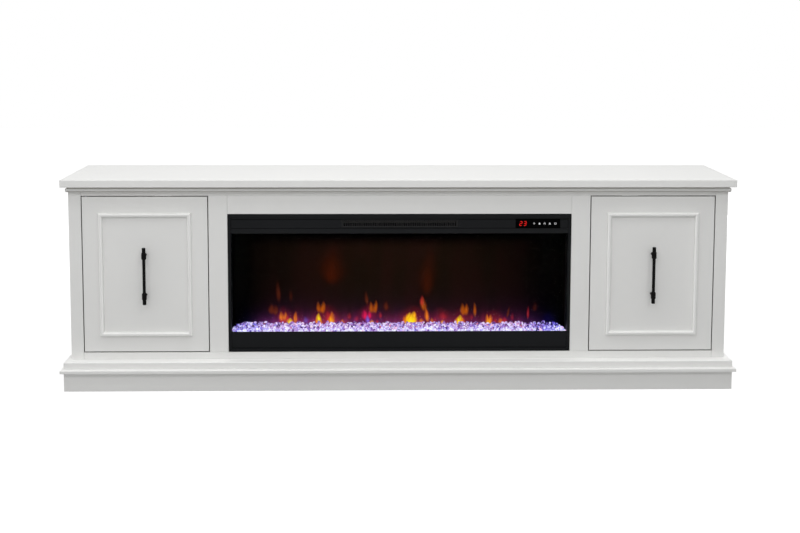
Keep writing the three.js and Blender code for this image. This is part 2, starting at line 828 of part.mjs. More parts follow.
function addHeater() {
  const half = heaterWidth / 2;
  const innerHalf = half - heaterWall;
  const y = [heaterFront, heaterFront + heaterDepth];
  const through = [y[0] - cutOverrun, y[1] + cutOverrun];
  const shaftHole = wheelShaftRadius + wheelClearance;
  const whole = block(across(half), y, [heaterLow, heaterHigh]);
  const duct = block(across(innerHalf), through, [heaterLow + heaterWall, heaterHigh - heaterWall]);
  const holes = rod("x", shaftHole, heaterWidth + 2 * cutOverrun, [0, wheelY, wheelZ]);
  place("heater_case", cut(whole, duct, holes), steel);

  const motorNear = half + seam;
  const motorMiddle = [motorNear + blowerMotorLength / 2, wheelY, wheelZ];
  const motor = rod("x", blowerMotorRadius, blowerMotorLength, motorMiddle);
  const bore = rod("x", shaftHole, 2 * blowerBoreDepth, [motorNear, wheelY, wheelZ]);
  place("blower_motor", cut(motor, bore), steel);

  const wheelHalf = innerHalf - wheelEndGap;
  const discPitch = (2 * wheelHalf - wheelDisc) / (wheelDiscCount - 1);
  const discs = Array.from({ length: wheelDiscCount }, (_, i) =>
    rod("x", wheelRadius, wheelDisc, [-wheelHalf + wheelDisc / 2 + i * discPitch, wheelY, wheelZ]),
  );
  const blades = Array.from({ length: bladeCount }, (_, i) => {
    const blade = new THREE.BoxGeometry(2 * wheelHalf - wheelDisc, bladeDepth, bladeThickness);
    blade.rotateX(THREE.MathUtils.degToRad(bladeTilt));
    blade.translate(0, wheelRadius - bladeDepth / 2 - bladeThickness, 0);
    blade.rotateX((i * 2 * Math.PI) / bladeCount);
    return blade.translate(0, wheelY, wheelZ);
  });
  const stubs = [
    [-(half + wheelWallReach), -wheelHalf + wheelDisc / 2],
    [wheelHalf - wheelDisc / 2, motorNear + blowerBoreDepth - wheelShaftEndGap],
  ].map(([from, to]) =>
    rod("x", wheelShaftRadius, to - from, [(from + to) / 2, wheelY, wheelZ]),
  );
  const [firstDisc, ...otherDiscs] = discs;
  place("blower_wheel", joined(firstDisc, ...otherDiscs, ...blades, ...stubs), blackPlastic);

  const elementHalf = innerHalf - seam;
  const elementY = [heaterFront + elementBehindFront, heaterFront + elementBehindFront + elementDepth];
  const core = block(across(elementHalf), elementY, about(wheelZ, elementCoreHeight));
  const finPitch = (2 * elementHalf) / finCount;
  const fins = Array.from({ length: finCount }, (_, i) =>
    block(about(-elementHalf + (i + 1 / 2) * finPitch, finThickness), elementY, about(wheelZ, finHeight)),
  );
  place("heating_element", joined(core, ...fins), steel);
}

function addRearCover() {
  const y = [fireboxBack + seam, fireboxBack + seam + sheet];
  const through = [y[0] - cutOverrun, y[1] + cutOverrun];
  const cover = block(across(fireboxHalf), y, [fireboxLow, fireboxHigh]);
  const ventHigh = fireboxHigh - rearVentDrop;
  const groupMiddle = (sign) => sign * heaterWidth * rearVentSpreadShare;
  const ventGroups = [-1, 1].flatMap((sign) =>
    Array.from({ length: rearVentCount }, (_, i) =>
      block(
        about(groupMiddle(sign) + (i - (rearVentCount - 1) / 2) * rearVentPitch, rearVentWidth),
        through,
        [ventHigh - rearVentHeight, ventHigh],
      ),
    ),
  );
  const inletX = fireboxHalf - inletSideMargin;
  const inletZ = fireboxLow + inletRise;
  const hole = block(about(inletX, inletWidth + 2 * seam), through, about(inletZ, inletHeight + 2 * seam));
  place("rear_cover", cut(cover, ...ventGroups, hole), blackMetal);

  const flangeY = [y[1] + seam, y[1] + seam + inletFlangeThickness];
  const body = block(
    about(inletX, inletWidth),
    [flangeY[1] - inletDepth, flangeY[1]],
    about(inletZ, inletHeight),
  );
  const flange = block(
    about(inletX, inletWidth + 2 * inletFlange),
    flangeY,
    about(inletZ, inletHeight + 2 * inletFlange),
  );
  const mouth = block(
    about(inletX, inletWidth - 2 * inletWall),
    [flangeY[1] - inletMouthDepth, flangeY[1] + cutOverrun],
    about(inletZ, inletHeight - 2 * inletWall),
  );
  place("mains_inlet", cut(joined(body, flange), mouth), blackPlastic);
}

addTop();
addCarcass();
addFaceFrame();
addBase();
for (const { word, sign } of sides) {
  addDoorPanel(word, sign);
  addDoorMoulding(word, sign);
  addPull(word, sign);
  addHinges(word, sign);
  addCatch(word, sign);
}
addBezel();
addGrille();
addDisplay();
addFirebox();
addEmberBed();
addRotor();
addHeater();
addRearCover();

export default stand;
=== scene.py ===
"""A fireplace TV stand, dressed for a plain studio.

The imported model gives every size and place. The boards, mouldings, pulls, crystals and flames that show are
surfaces worked out with numpy, and the other pieces keep their shape and get a finish of their own. Metres,
+Z up, and the front faces -Y.
"""

import json
import logging
import math
from collections.abc import Callable
from dataclasses import dataclass
from enum import Enum
from functools import reduce
from typing import Any

import bmesh
import bpy
import numpy as np
from mathutils import Matrix, Vector


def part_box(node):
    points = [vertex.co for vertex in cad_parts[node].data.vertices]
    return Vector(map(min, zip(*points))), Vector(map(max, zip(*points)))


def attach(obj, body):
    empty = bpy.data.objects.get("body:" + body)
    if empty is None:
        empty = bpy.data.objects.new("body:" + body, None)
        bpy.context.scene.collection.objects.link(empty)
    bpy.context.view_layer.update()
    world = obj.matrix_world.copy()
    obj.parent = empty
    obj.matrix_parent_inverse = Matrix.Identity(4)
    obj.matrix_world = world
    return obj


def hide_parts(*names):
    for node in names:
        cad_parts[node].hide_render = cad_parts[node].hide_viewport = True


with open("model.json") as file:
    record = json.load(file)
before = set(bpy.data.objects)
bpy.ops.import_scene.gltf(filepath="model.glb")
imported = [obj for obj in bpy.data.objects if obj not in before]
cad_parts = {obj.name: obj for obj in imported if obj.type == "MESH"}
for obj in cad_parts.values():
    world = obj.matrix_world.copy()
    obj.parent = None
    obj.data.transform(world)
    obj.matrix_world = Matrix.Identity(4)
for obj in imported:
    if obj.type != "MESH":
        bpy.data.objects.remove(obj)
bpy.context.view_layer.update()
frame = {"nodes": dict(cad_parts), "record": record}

log = logging.getLogger("fireplace_tv_stand")

MM = 0.001
WELD = 1e-6
SAME_NORMAL = 1e-3
ROUNDEST = 0.98
SEAM = 0.3 * MM
CABINET = "cabinet"

Array = np.ndarray
Triple = tuple[float, float, float]
Pair = tuple[float, float]
Socket = bpy.types.NodeSocket

UP = np.array([0.0, 0.0, 1.0])
FORWARD = np.array([0.0, -1.0, 0.0])
LEFT = np.array([-1.0, 0.0, 0.0])
ASKEW = (0.3, 0.5, 0.8)


class Side(Enum):
    """The two sides of the stand, as seen from the front."""

    LEFT = "left"
    RIGHT = "right"

    @property
    def body(self) -> str:
        """The name of the door's body on this side."""
        return f"{self.value}_door"


def box(node: str) -> tuple[Array, Array]:
    """The lowest and the highest corner of one of the model's nodes."""
    low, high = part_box(node)
    return np.array(low), np.array(high)


# Surfaces


@dataclass
class Patch:
    """A grid of points, (rows, columns, 3), with a normal and an edge mark from 0 to 1 at each."""

    points: Array
    normals: Array
    edge: Array


@dataclass
class Outline:
    """A flat line of points (a, b) with the normal and the edge mark at each."""

    points: Array
    normals: Array
    edge: Array


def unit(vectors: Array) -> Array:
    """The vectors divided by their lengths."""
    return vectors / np.maximum(np.linalg.norm(vectors, axis=-1, keepdims=True), 1e-12)


def ribbon(start: Array, end: Array, normals: Array, edge: Array) -> Patch:
    """The grid between two lines of points, which share their normals and their edge marks."""
    return Patch(*(np.stack(pair, axis=1) for pair in ((start, end), (normals, normals), (edge, edge))))


def flat_patch(lines: list[Array], facing: Array) -> Patch:
    """The grid between lines of points in one plane, with one normal and no edge mark."""
    grid = np.stack(lines, axis=1)
    return Patch(grid, np.broadcast_to(facing, grid.shape), np.zeros(grid.shape[:2]))


def cells(rows: int, columns: int) -> Array:
    """The two triangles of each cell in a grid of numbered points.

    Args:
        rows: how many rows of points.
        columns: how many points in each.

    Returns:
        The three point numbers of each triangle, (count, 3).
    """
    index = np.arange(rows * columns).reshape(rows, columns)
    a, b, c, d = index[:-1, :-1], index[:-1, 1:], index[1:, 1:], index[1:, :-1]
    return np.stack([a, b, c, a, c, d], axis=-1).reshape(-1, 3)


def rounded_outline(corners: list[Triple], closed: bool = True, steps: int = 4) -> Outline:
    """A line through corners, each rounded by its own radius.

    At a corner with edge normals n and m the arc's centre is the corner less r (n + m) / (1 + n.m), and the
    arc runs through the unit vectors from n to m. At a hollow corner the centre is on the other side. A
    radius of zero gives the corner twice, once with each normal.

    Args:
        corners: (a, b, radius) of each corner, counterclockwise, so the outside is on the right of the way
            round.
        closed: whether the line returns to its start. An open line runs from its first corner to its last.
        steps: the number of chords in each arc.

    Returns:
        The outline, closed onto its first point if asked.
    """
    places = np.array([corner[:2] for corner in corners], dtype=float)
    ways = unit(np.roll(places, -1, axis=0) - places)
    outs = np.stack([ways[:, 1], -ways[:, 0]], axis=-1)
    points, normals, edge = [], [], []
    for index, (_, _, radius) in enumerate(corners):
        before, after = outs[index - 1], outs[index]
        if not closed and index in (0, len(corners) - 1):
            before = after = outs[index] if index == 0 else outs[index - 1]
            radius = 0.0
        share = np.linspace(0.0, 1.0, steps + 1 if radius else 2)[:, None]
        fan = unit(before * (1 - share) + after * share)
        bend = 1.0 if before[0] * after[1] - before[1] * after[0] >= 0 else -1.0
        centre = places[index] - bend * radius * (before + after) / (1 + before @ after)
        points.append(centre + bend * radius * fan)
        normals.append(fan)
        edge.append(np.sin(share[:, 0] * math.pi) * (radius > 0))
    if closed:
        for values in (points, normals, edge):
            values.append(values[0][:1])
    return Outline(*(np.concatenate(values) for values in (points, normals, edge)))


def flat_backed(outline: Outline) -> Outline:
    """The outline with its flat back, where a is zero, divided at the height of each of its points.

    The caps of a strip then meet its back at shared points.

    Args:
        outline: the section, whose first and last corners are at its back.

    Returns:
        The outline, closed, with the divided back after its own points.
    """
    heights = np.flip(outline.points[:-1, 1])
    back = np.stack([np.zeros_like(heights), heights], axis=-1)
    behind = np.broadcast_to(np.array([-1.0, 0.0]), back.shape)
    lines = ((outline.points, back), (outline.normals, behind), (outline.edge, np.zeros(len(heights))))
    return Outline(*(np.concatenate([line[:-1], added]) for line, added in lines))


def ruler(half: float, radius: float, steps: int) -> Array:
    """Marks along one side of a rounded box: an arc's worth at each end, and one just inside each arc.

    Args:
        half: half the length of the side.
        radius: the radius of its ends.
        steps: the number of chords in each arc.

    Returns:
        The marks, from minus half to half.
    """
    arc = radius * np.tan(np.linspace(math.pi / 4, 0.0, steps + 1))
    inner = half - radius
    support = inner - min(2 * radius, inner / 2)
    left = np.concatenate([-inner - arc, [-support]])
    return np.concatenate([left, -left[::-1]])


def rounded_box(low: Array, high: Array, radius: float, steps: int = 3) -> list[Patch]:
    """A box with rounded edges and corners.

    Each face is a grid (u, v) on the sharp box. The nearest point q of the inner box, smaller by the radius
    all round, is the grid point clamped to it, and the surface is q plus the radius times the unit vector
    from q. The edge mark is one where that vector stands at 45 degrees.

    Args:
        low: the lowest corner.
        high: the highest corner.
        radius: the radius of every edge, if the box is thick enough.
        steps: the number of chords in each edge's arc, from the face's side.

    Returns:
        A patch for each face.
    """
    low, high = np.array(low, dtype=float), np.array(high, dtype=float)
    centre, half = (low + high) / 2, (high - low) / 2
    radius = min(radius, ROUNDEST * float(half.min()))
    patches = []
    for axis in range(3):
        across, along = (axis + 1) % 3, (axis + 2) % 3
        marks = (ruler(half[side], radius, steps) for side in (across, along))
        u, v = np.meshgrid(*marks, indexing="ij")
        for sign in (-1.0, 1.0):
            sharp = np.empty((*u.shape, 3))
            sharp[..., across], sharp[..., along], sharp[..., axis] = u, v, sign * half[axis]
            inner = np.clip(sharp, radius - half, half - radius)
            normals = unit(sharp - inner)
            edge = np.clip((1 - np.abs(normals).max(axis=-1)) / (1 - math.sqrt(0.5)), 0.0, 1.0)
            patches.append(Patch(centre + inner + radius * normals, normals, edge))
    return patches


def swept(outline: Outline, path: Array, up: Array, closed: bool) -> list[Patch]:
    """An outline carried along a flat path with mitred corners.

    A point (a, b) of the outline stands at the path's corner plus a times the mitre plus b times up. The
    mitre is (n + m) / (1 + n.m) of the outward normals n and m of the two runs that meet there.

    Args:
        outline: the section; a is the distance outwards from the path and b the distance along up.
        path: the corners of the path, counterclockwise as seen against up.
        up: the unit normal of the path's plane.
        closed: whether the path returns to its start. An open path's ends are capped, each by strips from the
            outline straight back to the section's flat back, where a is zero.

    Returns:
        One patch for each straight run, and one for each cap.
    """
    count = len(path)
    ways = unit(np.roll(path, -1, axis=0) - path)
    outs = np.cross(ways, up)
    before = np.roll(outs, 1, axis=0)
    mitres = (before + outs) / (1 + np.sum(before * outs, axis=-1, keepdims=True))
    if not closed:
        mitres[0], mitres[-1] = outs[0], outs[-2]
    rise = outline.points[:, 1:] * up
    lines = [corner + outline.points[:, :1] * mitre + rise for corner, mitre in zip(path, mitres)]
    patches = []
    for run in range(count if closed else count - 1):
        normals = outline.normals[:, :1] * outs[run] + outline.normals[:, 1:] * up
        patches.append(ribbon(lines[run], lines[(run + 1) % count], normals, outline.edge))
    if not closed:
        for end, facing in ((0, -ways[0]), (-1, ways[-2])):
            patches.append(flat_patch([lines[end], path[end] + rise], facing))
    return patches


def framed(outline: Outline, low: Array, high: Array, inset: float = 0.0) -> list[Patch]:
    """An outline carried round the upright rectangle at a box's back, smaller by the inset all round.

    Args:
        outline: the section; a is the distance outwards and b the distance forwards.
        low: the box's lowest corner.
        high: its highest corner.
        inset: how far inside the box the path runs.

    Returns:
        A patch for each side.
    """
    left, bottom = low[0] + inset, low[2] + inset
    right, top = high[0] - inset, high[2] - inset
    corners = ((left, bottom), (right, bottom), (right, top), (left, top))
    return swept(outline, np.array([(x, high[1], z) for x, z in corners]), FORWARD, closed=True)


def turned(outline: Outline, base: Array, axis: Array, sides: int = 40) -> list[Patch]:
    """An outline turned round an axis: (r, h) goes to base + h axis + r (cos t, sin t) across the axis.

    Args:
        outline: the section, as the distance from the axis and the height along it.
        base: the point that the height is measured from.
        axis: the way that it rises.
        sides: the number of steps round.

    Returns:
        One patch.
    """
    axis = unit(np.array(axis, dtype=float))
    first = unit(np.cross(axis, ASKEW))
    angle = np.linspace(0.0, 2 * math.pi, sides + 1)[None, :, None]
    spoke = np.cos(angle) * first + np.sin(angle) * np.cross(axis, first)
    reach, height = (column[:, None, None] for column in outline.points.T)
    outwards, along = (column[:, None, None] for column in outline.normals.T)
    edge = np.repeat(outline.edge[:, None], sides + 1, axis=1)
    return [Patch(np.array(base) + height * axis + reach * spoke, outwards * spoke + along * axis, edge)]


def welded_mesh(name: str, patches: list[Patch]) -> bpy.types.Mesh:
    """Joins grids into one mesh of triangles.

    Each cell splits into two triangles, turned to agree with its normals. Points at one place become one,
    triangles without an area are dropped, and each corner keeps its own grid's normal, so a crease stays
    crisp.

    Args:
        name: the mesh's name.
        patches: the grids.

    Returns:
        The mesh, with its edge mark as an attribute.
    """
    points = np.concatenate([patch.points.reshape(-1, 3) for patch in patches])
    normals = np.concatenate([patch.normals.reshape(-1, 3) for patch in patches])
    edge = np.concatenate([patch.edge.reshape(-1) for patch in patches])
    starts = np.cumsum([0, *(patch.edge.size for patch in patches)])
    triangles = np.concatenate([cells(*patch.edge.shape) + start for patch, start in zip(patches, starts)])
    spans = points[triangles]
    facing = np.cross(spans[:, 1] - spans[:, 0], spans[:, 2] - spans[:, 0])
    inward = np.sum(facing * normals[triangles].sum(axis=1), axis=-1) < 0
    triangles[inward] = triangles[inward][:, ::-1]
    places = np.round(points / WELD).astype(np.int64)
    _, first, merged = np.unique(places, axis=0, return_index=True, return_inverse=True)
    welded = merged.reshape(-1)[triangles]
    kept = (welded != np.roll(welded, 1, axis=1)).all(axis=1) & (np.linalg.norm(facing, axis=-1) > WELD**2)
    mesh = bpy.data.meshes.new(name)
    mesh.from_pydata(points[first].tolist(), [], welded[kept].tolist())
    mesh.shade_smooth()
    mark_creases(mesh, welded[kept], normals[triangles[kept]])
    mesh.normals_split_custom_set(normals[triangles[kept].reshape(-1)].tolist())
    mark = mesh.attributes.new("edge", "FLOAT", "POINT")
    mark.data.foreach_set("value", edge[first].astype(np.float32))
    return mesh


def mark_creases(mesh: bpy.types.Mesh, triangles: Array, normals: Array) -> None:
    """Marks an edge sharp where its faces' normals differ at either end, or where it has not just two faces.

    Args:
        mesh: the mesh made of the triangles.
        triangles: the points of each triangle, (count, 3).
        normals: the normal at each of its corners, (count, 3, 3).
    """
    ends = np.stack([triangles, np.roll(triangles, -1, axis=1)], axis=-1).reshape(-1, 2)
    pairs = np.stack([normals, np.roll(normals, -1, axis=1)], axis=2).reshape(-1, 2, 3)
    backward = ends[:, 0] > ends[:, 1]
    ends[backward] = ends[backward][:, ::-1]
    pairs[backward] = pairs[backward][:, ::-1]
    size = int(triangles.max()) + 1
    keys, first, group, count = np.unique(
        ends[:, 0] * size + ends[:, 1], return_index=True, return_inverse=True, return_counts=True
    )
    group = group.reshape(-1)
    widest = np.zeros(len(keys))
    np.maximum.at(widest, group, np.abs(pairs - pairs[first[group]]).max(axis=(1, 2)))
    known = np.empty(len(mesh.edges) * 2, np.int32)
    mesh.edges.foreach_get("vertices", known)
    known = np.sort(known.reshape(-1, 2).astype(np.int64), axis=1)
    place = np.searchsorted(keys, known[:, 0] * size + known[:, 1])
    sharp = (widest[place] > SAME_NORMAL) | (count[place] != 2)
    mesh.attributes.new("sharp_edge", "BOOLEAN", "EDGE").data.foreach_set("value", sharp)


def loose_mesh(name: str, points: Array, faces: Array, colours: Array) -> bpy.types.Mesh:
    """A mesh of flat triangles with a colour of its own, red to alpha, at each corner of each face.

    Args:
        name: the mesh's name.
        points: the points, (count, 3).
        faces: the points of each triangle, (faces, 3).
        colours: the colour at each corner, (faces, 3, 4).

    Returns:
        The mesh, with its colours as an attribute.
    """
    mesh = bpy.data.meshes.new(name)
    mesh.from_pydata(points.tolist(), [], faces.tolist())
    glow = mesh.attributes.new("glow", "FLOAT_COLOR", "CORNER")
    glow.data.foreach_set("color", colours.astype(np.float32).reshape(-1))
    return mesh


# Node trees


class Graph:
    """A node tree, with short calls that add nodes and join them."""

    def __init__(self, tree: bpy.types.NodeTree) -> None:
        """Works on one tree."""
        self.tree = tree

    def feed(self, node: bpy.types.Node, inputs: dict[Any, Any]) -> None:
        """Sets a node's named or numbered inputs to values, or joins them to other nodes' sockets.

        Args:
            node: the node.
            inputs: a value or another node's socket for each input.
        """
        for key, value in inputs.items():
            if isinstance(value, Socket):
                self.tree.links.new(value, node.inputs[key])
            else:
                node.inputs[key].default_value = value

    def node(self, kind: str, inputs: dict[Any, Any] | None = None, **settings: Any) -> bpy.types.Node:
        """Adds a node.

        Args:
            kind: the node's type.
            inputs: a value or another node's socket for each named or numbered input.
            **settings: the node's own properties.

        Returns:
            The new node.
        """
        made = self.tree.nodes.new(kind)
        for key, value in settings.items():
            setattr(made, key, value)
        self.feed(made, inputs or {})
        return made

    def math(self, operation: str, a: Any, b: Any = 0.0) -> Socket:
        """The result of one operation on two numbers or sockets."""
        return self.node("ShaderNodeMath", {0: a, 1: b}, operation=operation).outputs[0]

    def times(self, *factors: Any) -> Socket:
        """The product of two or more numbers or sockets."""
        return reduce(lambda a, b: self.math("MULTIPLY", a, b), factors)

    def scaled(self, tone: Any, share: Any) -> Socket:
        """A colour or a vector times a share."""
        return self.node("ShaderNodeVectorMath", {0: tone, 3: share}, operation="SCALE").outputs[0]

    def added(self, a: Any, b: Any) -> Socket:
        """The sum of two colours."""
        return self.node("ShaderNodeVectorMath", {0: a, 1: b}, operation="ADD").outputs[0]

    def noise(self, vector: Any, scale: float | Triple, detail: float = 2.0, rough: float = 0.5) -> Socket:
        """A noise value, about a half on average.

        Args:
            vector: the place that it is read at.
            scale: its scale per metre, or one for each axis, which draws it out.
            detail: how many finer layers it has.
            rough: how strong these are.

        Returns:
            The value's socket.
        """
        if isinstance(scale, tuple):
            vector = self.node("ShaderNodeMapping", {"Vector": vector, "Scale": scale}).outputs[0]
            scale = 1.0
        inputs = {"Vector": vector, "Scale": scale, "Detail": detail, "Roughness": rough}
        return self.node("ShaderNodeTexNoise", inputs).outputs[0]

    def span(self, value: Any, start: float, end: float, low: float = 0.0, high: float = 1.0) -> Socket:
        """A value that goes smoothly from low to high as the input goes from start to end."""
        inputs = {"Value": value, "From Min": start, "From Max": end, "To Min": low, "To Max": high}
        return self.node("ShaderNodeMapRange", inputs, interpolation_type="SMOOTHSTEP").outputs[0]

    def stray(self, middle: float, swing: float, value: Socket) -> Socket:
        """A number that strays about its middle as a noise value does about a half."""
        return self.math("ADD", self.times(value, swing), middle - swing / 2)

    def mix(self, factor: Any, a: Any, b: Any, blend: str = "MIX") -> Socket:
        """Two colours mixed or combined by a factor.

        Args:
            factor: the share of the second colour.
            a: the first colour.
            b: the second colour.
            blend: how they combine.

        Returns:
            The colour's socket.
        """
        wide = [value if isinstance(value, Socket) else (*value, 1.0) for value in (a, b)]
        inputs = {0: factor, 6: wide[0], 7: wide[1]}
        return self.node("ShaderNodeMix", inputs, data_type="RGBA", blend_type=blend).outputs[2]

    def attribute(self, name: str) -> Any:
        """The outputs of one of the mesh's attributes."""
        return self.node("ShaderNodeAttribute", attribute_name=name).outputs

    def effect(self, name: str, vector: Any, amount: float) -> Socket:
        """A shared effect placed in this tree."""
        return self.node("ShaderNodeGroup", {0: vector, 1: amount}, node_tree=shared_effect(name)).outputs[0]

    def clouded(self, tone: Any, vector: Any, amount: float) -> Socket:
        """A colour with cloudy variation."""
        return self.scaled(tone, self.effect("mottle", vector, amount))

    def bump(self, height: Socket, depth: float) -> Socket:
        """A normal that follows a height of so many metres."""
        return self.node("ShaderNodeBump", {"Height": height, "Strength": 1.0, "Distance": depth}).outputs[0]

    def seen(self) -> Socket:
        """One for camera, glossy and transmitted rays, and zero for the rest.

        Returns:
            The value's socket.
        """
        path = self.node("ShaderNodeLightPath").outputs
        either = self.math("MAXIMUM", path["Is Camera Ray"], path["Is Glossy Ray"])
        return self.math("MAXIMUM", either, path["Is Transmission Ray"])


def fill_mottle(graph: Graph, vector: Socket, amount: Socket) -> Socket:
    """Cloudy variation: one plus the amount times broad noise less a half, so it stays about one.

    Args:
        graph: the group's node tree.
        vector: the place.
        amount: how strong the variation is.

    Returns:
        The factor's socket.
    """
    broad, fine = graph.noise(vector, 5.0, 3.0), graph.noise(vector, 38.0)
    both = graph.math("ADD", graph.times(broad, 0.7), graph.times(fine, 0.3))
    return graph.math("ADD", graph.times(graph.math("SUBTRACT", both, 0.5), amount), 1.0)


def fill_wear(graph: Graph, vector: Socket, amount: Socket) -> Socket:
    """Rubbed edges: the piece's own edge mark, broken up by noise, times the amount."""
    broken = graph.span(graph.noise(vector, 55.0, 4.0), 0.4, 0.62)
    return graph.times(graph.attribute("edge")["Fac"], broken, amount)


def fill_grain(graph: Graph, vector: Socket, amount: Socket) -> Socket:
    """Fine relief for a bump: noise at the amount per metre, with a slower swell under it.

    Args:
        graph: the group's node tree.
        vector: the place.
        amount: the scale of the noise per metre.

    Returns:
        The height's socket.
    """
    dense = graph.scaled(vector, amount)
    swell = graph.times(graph.noise(dense, 0.17, 1.0), 0.6)
    return graph.math("ADD", graph.noise(dense, 1.0, 3.0, 0.6), swell)


EFFECTS: dict[str, Callable[[Graph, Socket, Socket], Socket]] = {
    "mottle": fill_mottle,
    "wear": fill_wear,
    "grain": fill_grain,
}


def shared_effect(name: str) -> bpy.types.NodeTree:
    """The node group of one shared effect, built the first time it is asked for.

    Args:
        name: which effect.

    Returns:
        Its node group, with the sockets Vector, Amount and Value.
    """
    if name in bpy.data.node_groups:
        return bpy.data.node_groups[name]
    tree = bpy.data.node_groups.new(name, "ShaderNodeTree")
    tree.interface.new_socket(name="Vector", in_out="INPUT", socket_type="NodeSocketVector")
    tree.interface.new_socket(name="Amount", in_out="INPUT", socket_type="NodeSocketFloat")
    tree.interface.new_socket(name="Value", in_out="OUTPUT", socket_type="NodeSocketFloat")
    graph = Graph(tree)
    given = graph.node("NodeGroupInput").outputs
    graph.node("NodeGroupOutput", {"Value": EFFECTS[name](graph, given["Vector"], given["Amount"])})
    return tree


# Finishes


@dataclass(frozen=True)
class Finish:
    """What every finish has: its own name and the slot of the record that it belongs to."""

    name: str
    slot: str

    def material(self) -> bpy.types.Material:
        """The finish as a material, made once.

        Returns:
            The material.
        """
        if self.name in bpy.data.materials:
            return bpy.data.materials[self.name]
        made = bpy.data.materials.new(self.name)
        made.use_nodes = True
        graph = Graph(made.node_tree)
        coords = graph.node("ShaderNodeTexCoord").outputs["Object"]
        graph.feed(made.node_tree.nodes["Principled BSDF"], self.dress(graph, coords))
        return made

    def dress(self, graph: Graph, coords: Socket) -> dict[str, Any]:
        """The shader's inputs; each finish has its own way."""
        raise NotImplementedError


@dataclass(frozen=True)
class Paint(Finish):
    """Sprayed paint on board: a faint orange peel, cloudy tone and slightly rubbed edges.

    It can have a painted gap shade, a darker tone on the board edges that stand in a gap, and a painted light
    tone where the mesh is marked, lighter for a highlight and darker for shade.
    """

    colour: Triple = (0.84, 0.84, 0.825)
    primer: Triple = (0.72, 0.71, 0.68)
    roughness: float = 0.44
    mottle: float = 0.05
    wear: float = 0.08
    peel_per_metre: float = 420.0
    peel_depth: float = 0.02 * MM
    gloss_swing: float = 0.14
    specular: float = 0.45
    # Painted shade: the darker tone of board edges that stand in a gap.
    gap_shade: Triple | None = None
    reveal_front: float = -155.4 * MM
    reveal_back: float = -136.6 * MM
    reveal_half: float = 1036.2 * MM
    reveal_fade: float = 0.6 * MM
    # Painted light: the tone where the mesh is marked, lighter for a highlight and darker for shade.
    painted_light_tone: Triple | None = None

    def gap_shade_mask(self, graph: Graph, coords: Socket) -> Socket:
        """One where the painted gap shade goes, on the edges of a board that stand in a gap, between its
        front and its back, or else zero.

        Args:
            graph: the material's node tree.
            coords: the place on the piece, in metres.

        Returns:
            The mask's socket.
        """
        place = graph.node("ShaderNodeSeparateXYZ", {0: coords}).outputs
        front = graph.span(place["Y"], self.reveal_front, self.reveal_front + self.reveal_fade)
        back = graph.span(place["Y"], self.reveal_back, self.reveal_back - self.reveal_fade)
        inside = graph.math("LESS_THAN", graph.math("ABSOLUTE", place["X"]), self.reveal_half)
        return graph.times(front, back, inside)

    def dress(self, graph: Graph, coords: Socket) -> dict[str, Any]:
        """Paint over primer, with the tone, the gloss and the relief each varying, and any painted gap shade
        and painted light tone mixed in.

        Args:
            graph: the material's node tree.
            coords: the place on the piece, in metres.

        Returns:
            A value or a socket for each input of the shader that it sets.
        """
        worn = graph.effect("wear", coords, self.wear)
        tone = graph.mix(worn, graph.clouded(self.colour, coords, self.mottle), self.primer)
        # Painted shade on the board edges that stand in a gap.
        if self.gap_shade:
            tone = graph.mix(self.gap_shade_mask(graph, coords), tone, self.gap_shade)
        # Painted light where the mesh is marked: a lighter tone paints a highlight, a darker one paints
        # shade.
        if self.painted_light_tone:
            tone = graph.mix(graph.attribute("edge")["Fac"], tone, self.painted_light_tone)
        gloss = graph.stray(self.roughness, self.gloss_swing, graph.noise(coords, 11.0, 3.0))
        return {
            "Base Color": tone,
            "Roughness": graph.math("ADD", gloss, graph.times(worn, 0.3)),
            "Specular IOR Level": self.specular,
            "Normal": graph.bump(graph.effect("grain", coords, self.peel_per_metre), self.peel_depth),
        }


@dataclass(frozen=True)
class Hardboard(Finish):
    """Unpainted board: matted fibres in two browns, with flecks and a soft woolly relief."""

    light: Triple
    dark: Triple

    def dress(self, graph: Graph, coords: Socket) -> dict[str, Any]:
        """Fibres are noise drawn out two ways; flecks are its peaks at a finer scale.

        Args:
            graph: the material's node tree.
            coords: the place on the piece, in metres.

        Returns:
            A value or a socket for each input of the shader that it sets.
        """
        ways = ((60.0, 240.0, 420.0), (420.0, 240.0, 70.0))
        lying, standing = (graph.noise(coords, way, 4.0, 0.65) for way in ways)
        fibres = graph.times(graph.math("ADD", lying, standing), 0.5)
        flecks = graph.span(graph.noise(coords, 900.0), 0.6, 0.72)
        tone = graph.mix(graph.span(fibres, 0.38, 0.64), self.dark, self.light)
        spotted = graph.mix(graph.times(flecks, 0.5), tone, self.dark)
        return {
            "Base Color": graph.clouded(spotted, coords, 0.5),
            "Roughness": graph.span(fibres, 0.3, 0.7, 0.72, 0.9),
            "Normal": graph.bump(fibres, 0.2 * MM),
        }


@dataclass(frozen=True)
class Coated(Finish):
    """A dark coat on metal or plastic: fine grain, uneven gloss and paler rubbed edges."""

    colour: Triple
    worn: Triple
    roughness: float = 0.5
    grain_per_metre: float = 1500.0
    grain_depth: float = 0.05 * MM
    wear: float = 0.4
    specular: float = 0.2
    gloss_swing: float = 0.16

    def dress(self, graph: Graph, coords: Socket) -> dict[str, Any]:
        """The coat's tone and gloss follow cloudy noise, and its grain is a fine bump.

        Args:
            graph: the material's node tree.
            coords: the place on the piece, in metres.

        Returns:
            A value or a socket for each input of the shader that it sets.
        """
        worn = graph.effect("wear", coords, self.wear)
        return {
            "Base Color": graph.mix(worn, graph.clouded(self.colour, coords, 0.5), self.worn),
            "Roughness": graph.stray(self.roughness, self.gloss_swing, graph.noise(coords, 24.0, 4.0)),
            "Specular IOR Level": self.specular,
            "Normal": graph.bump(graph.effect("grain", coords, self.grain_per_metre), self.grain_depth),
        }


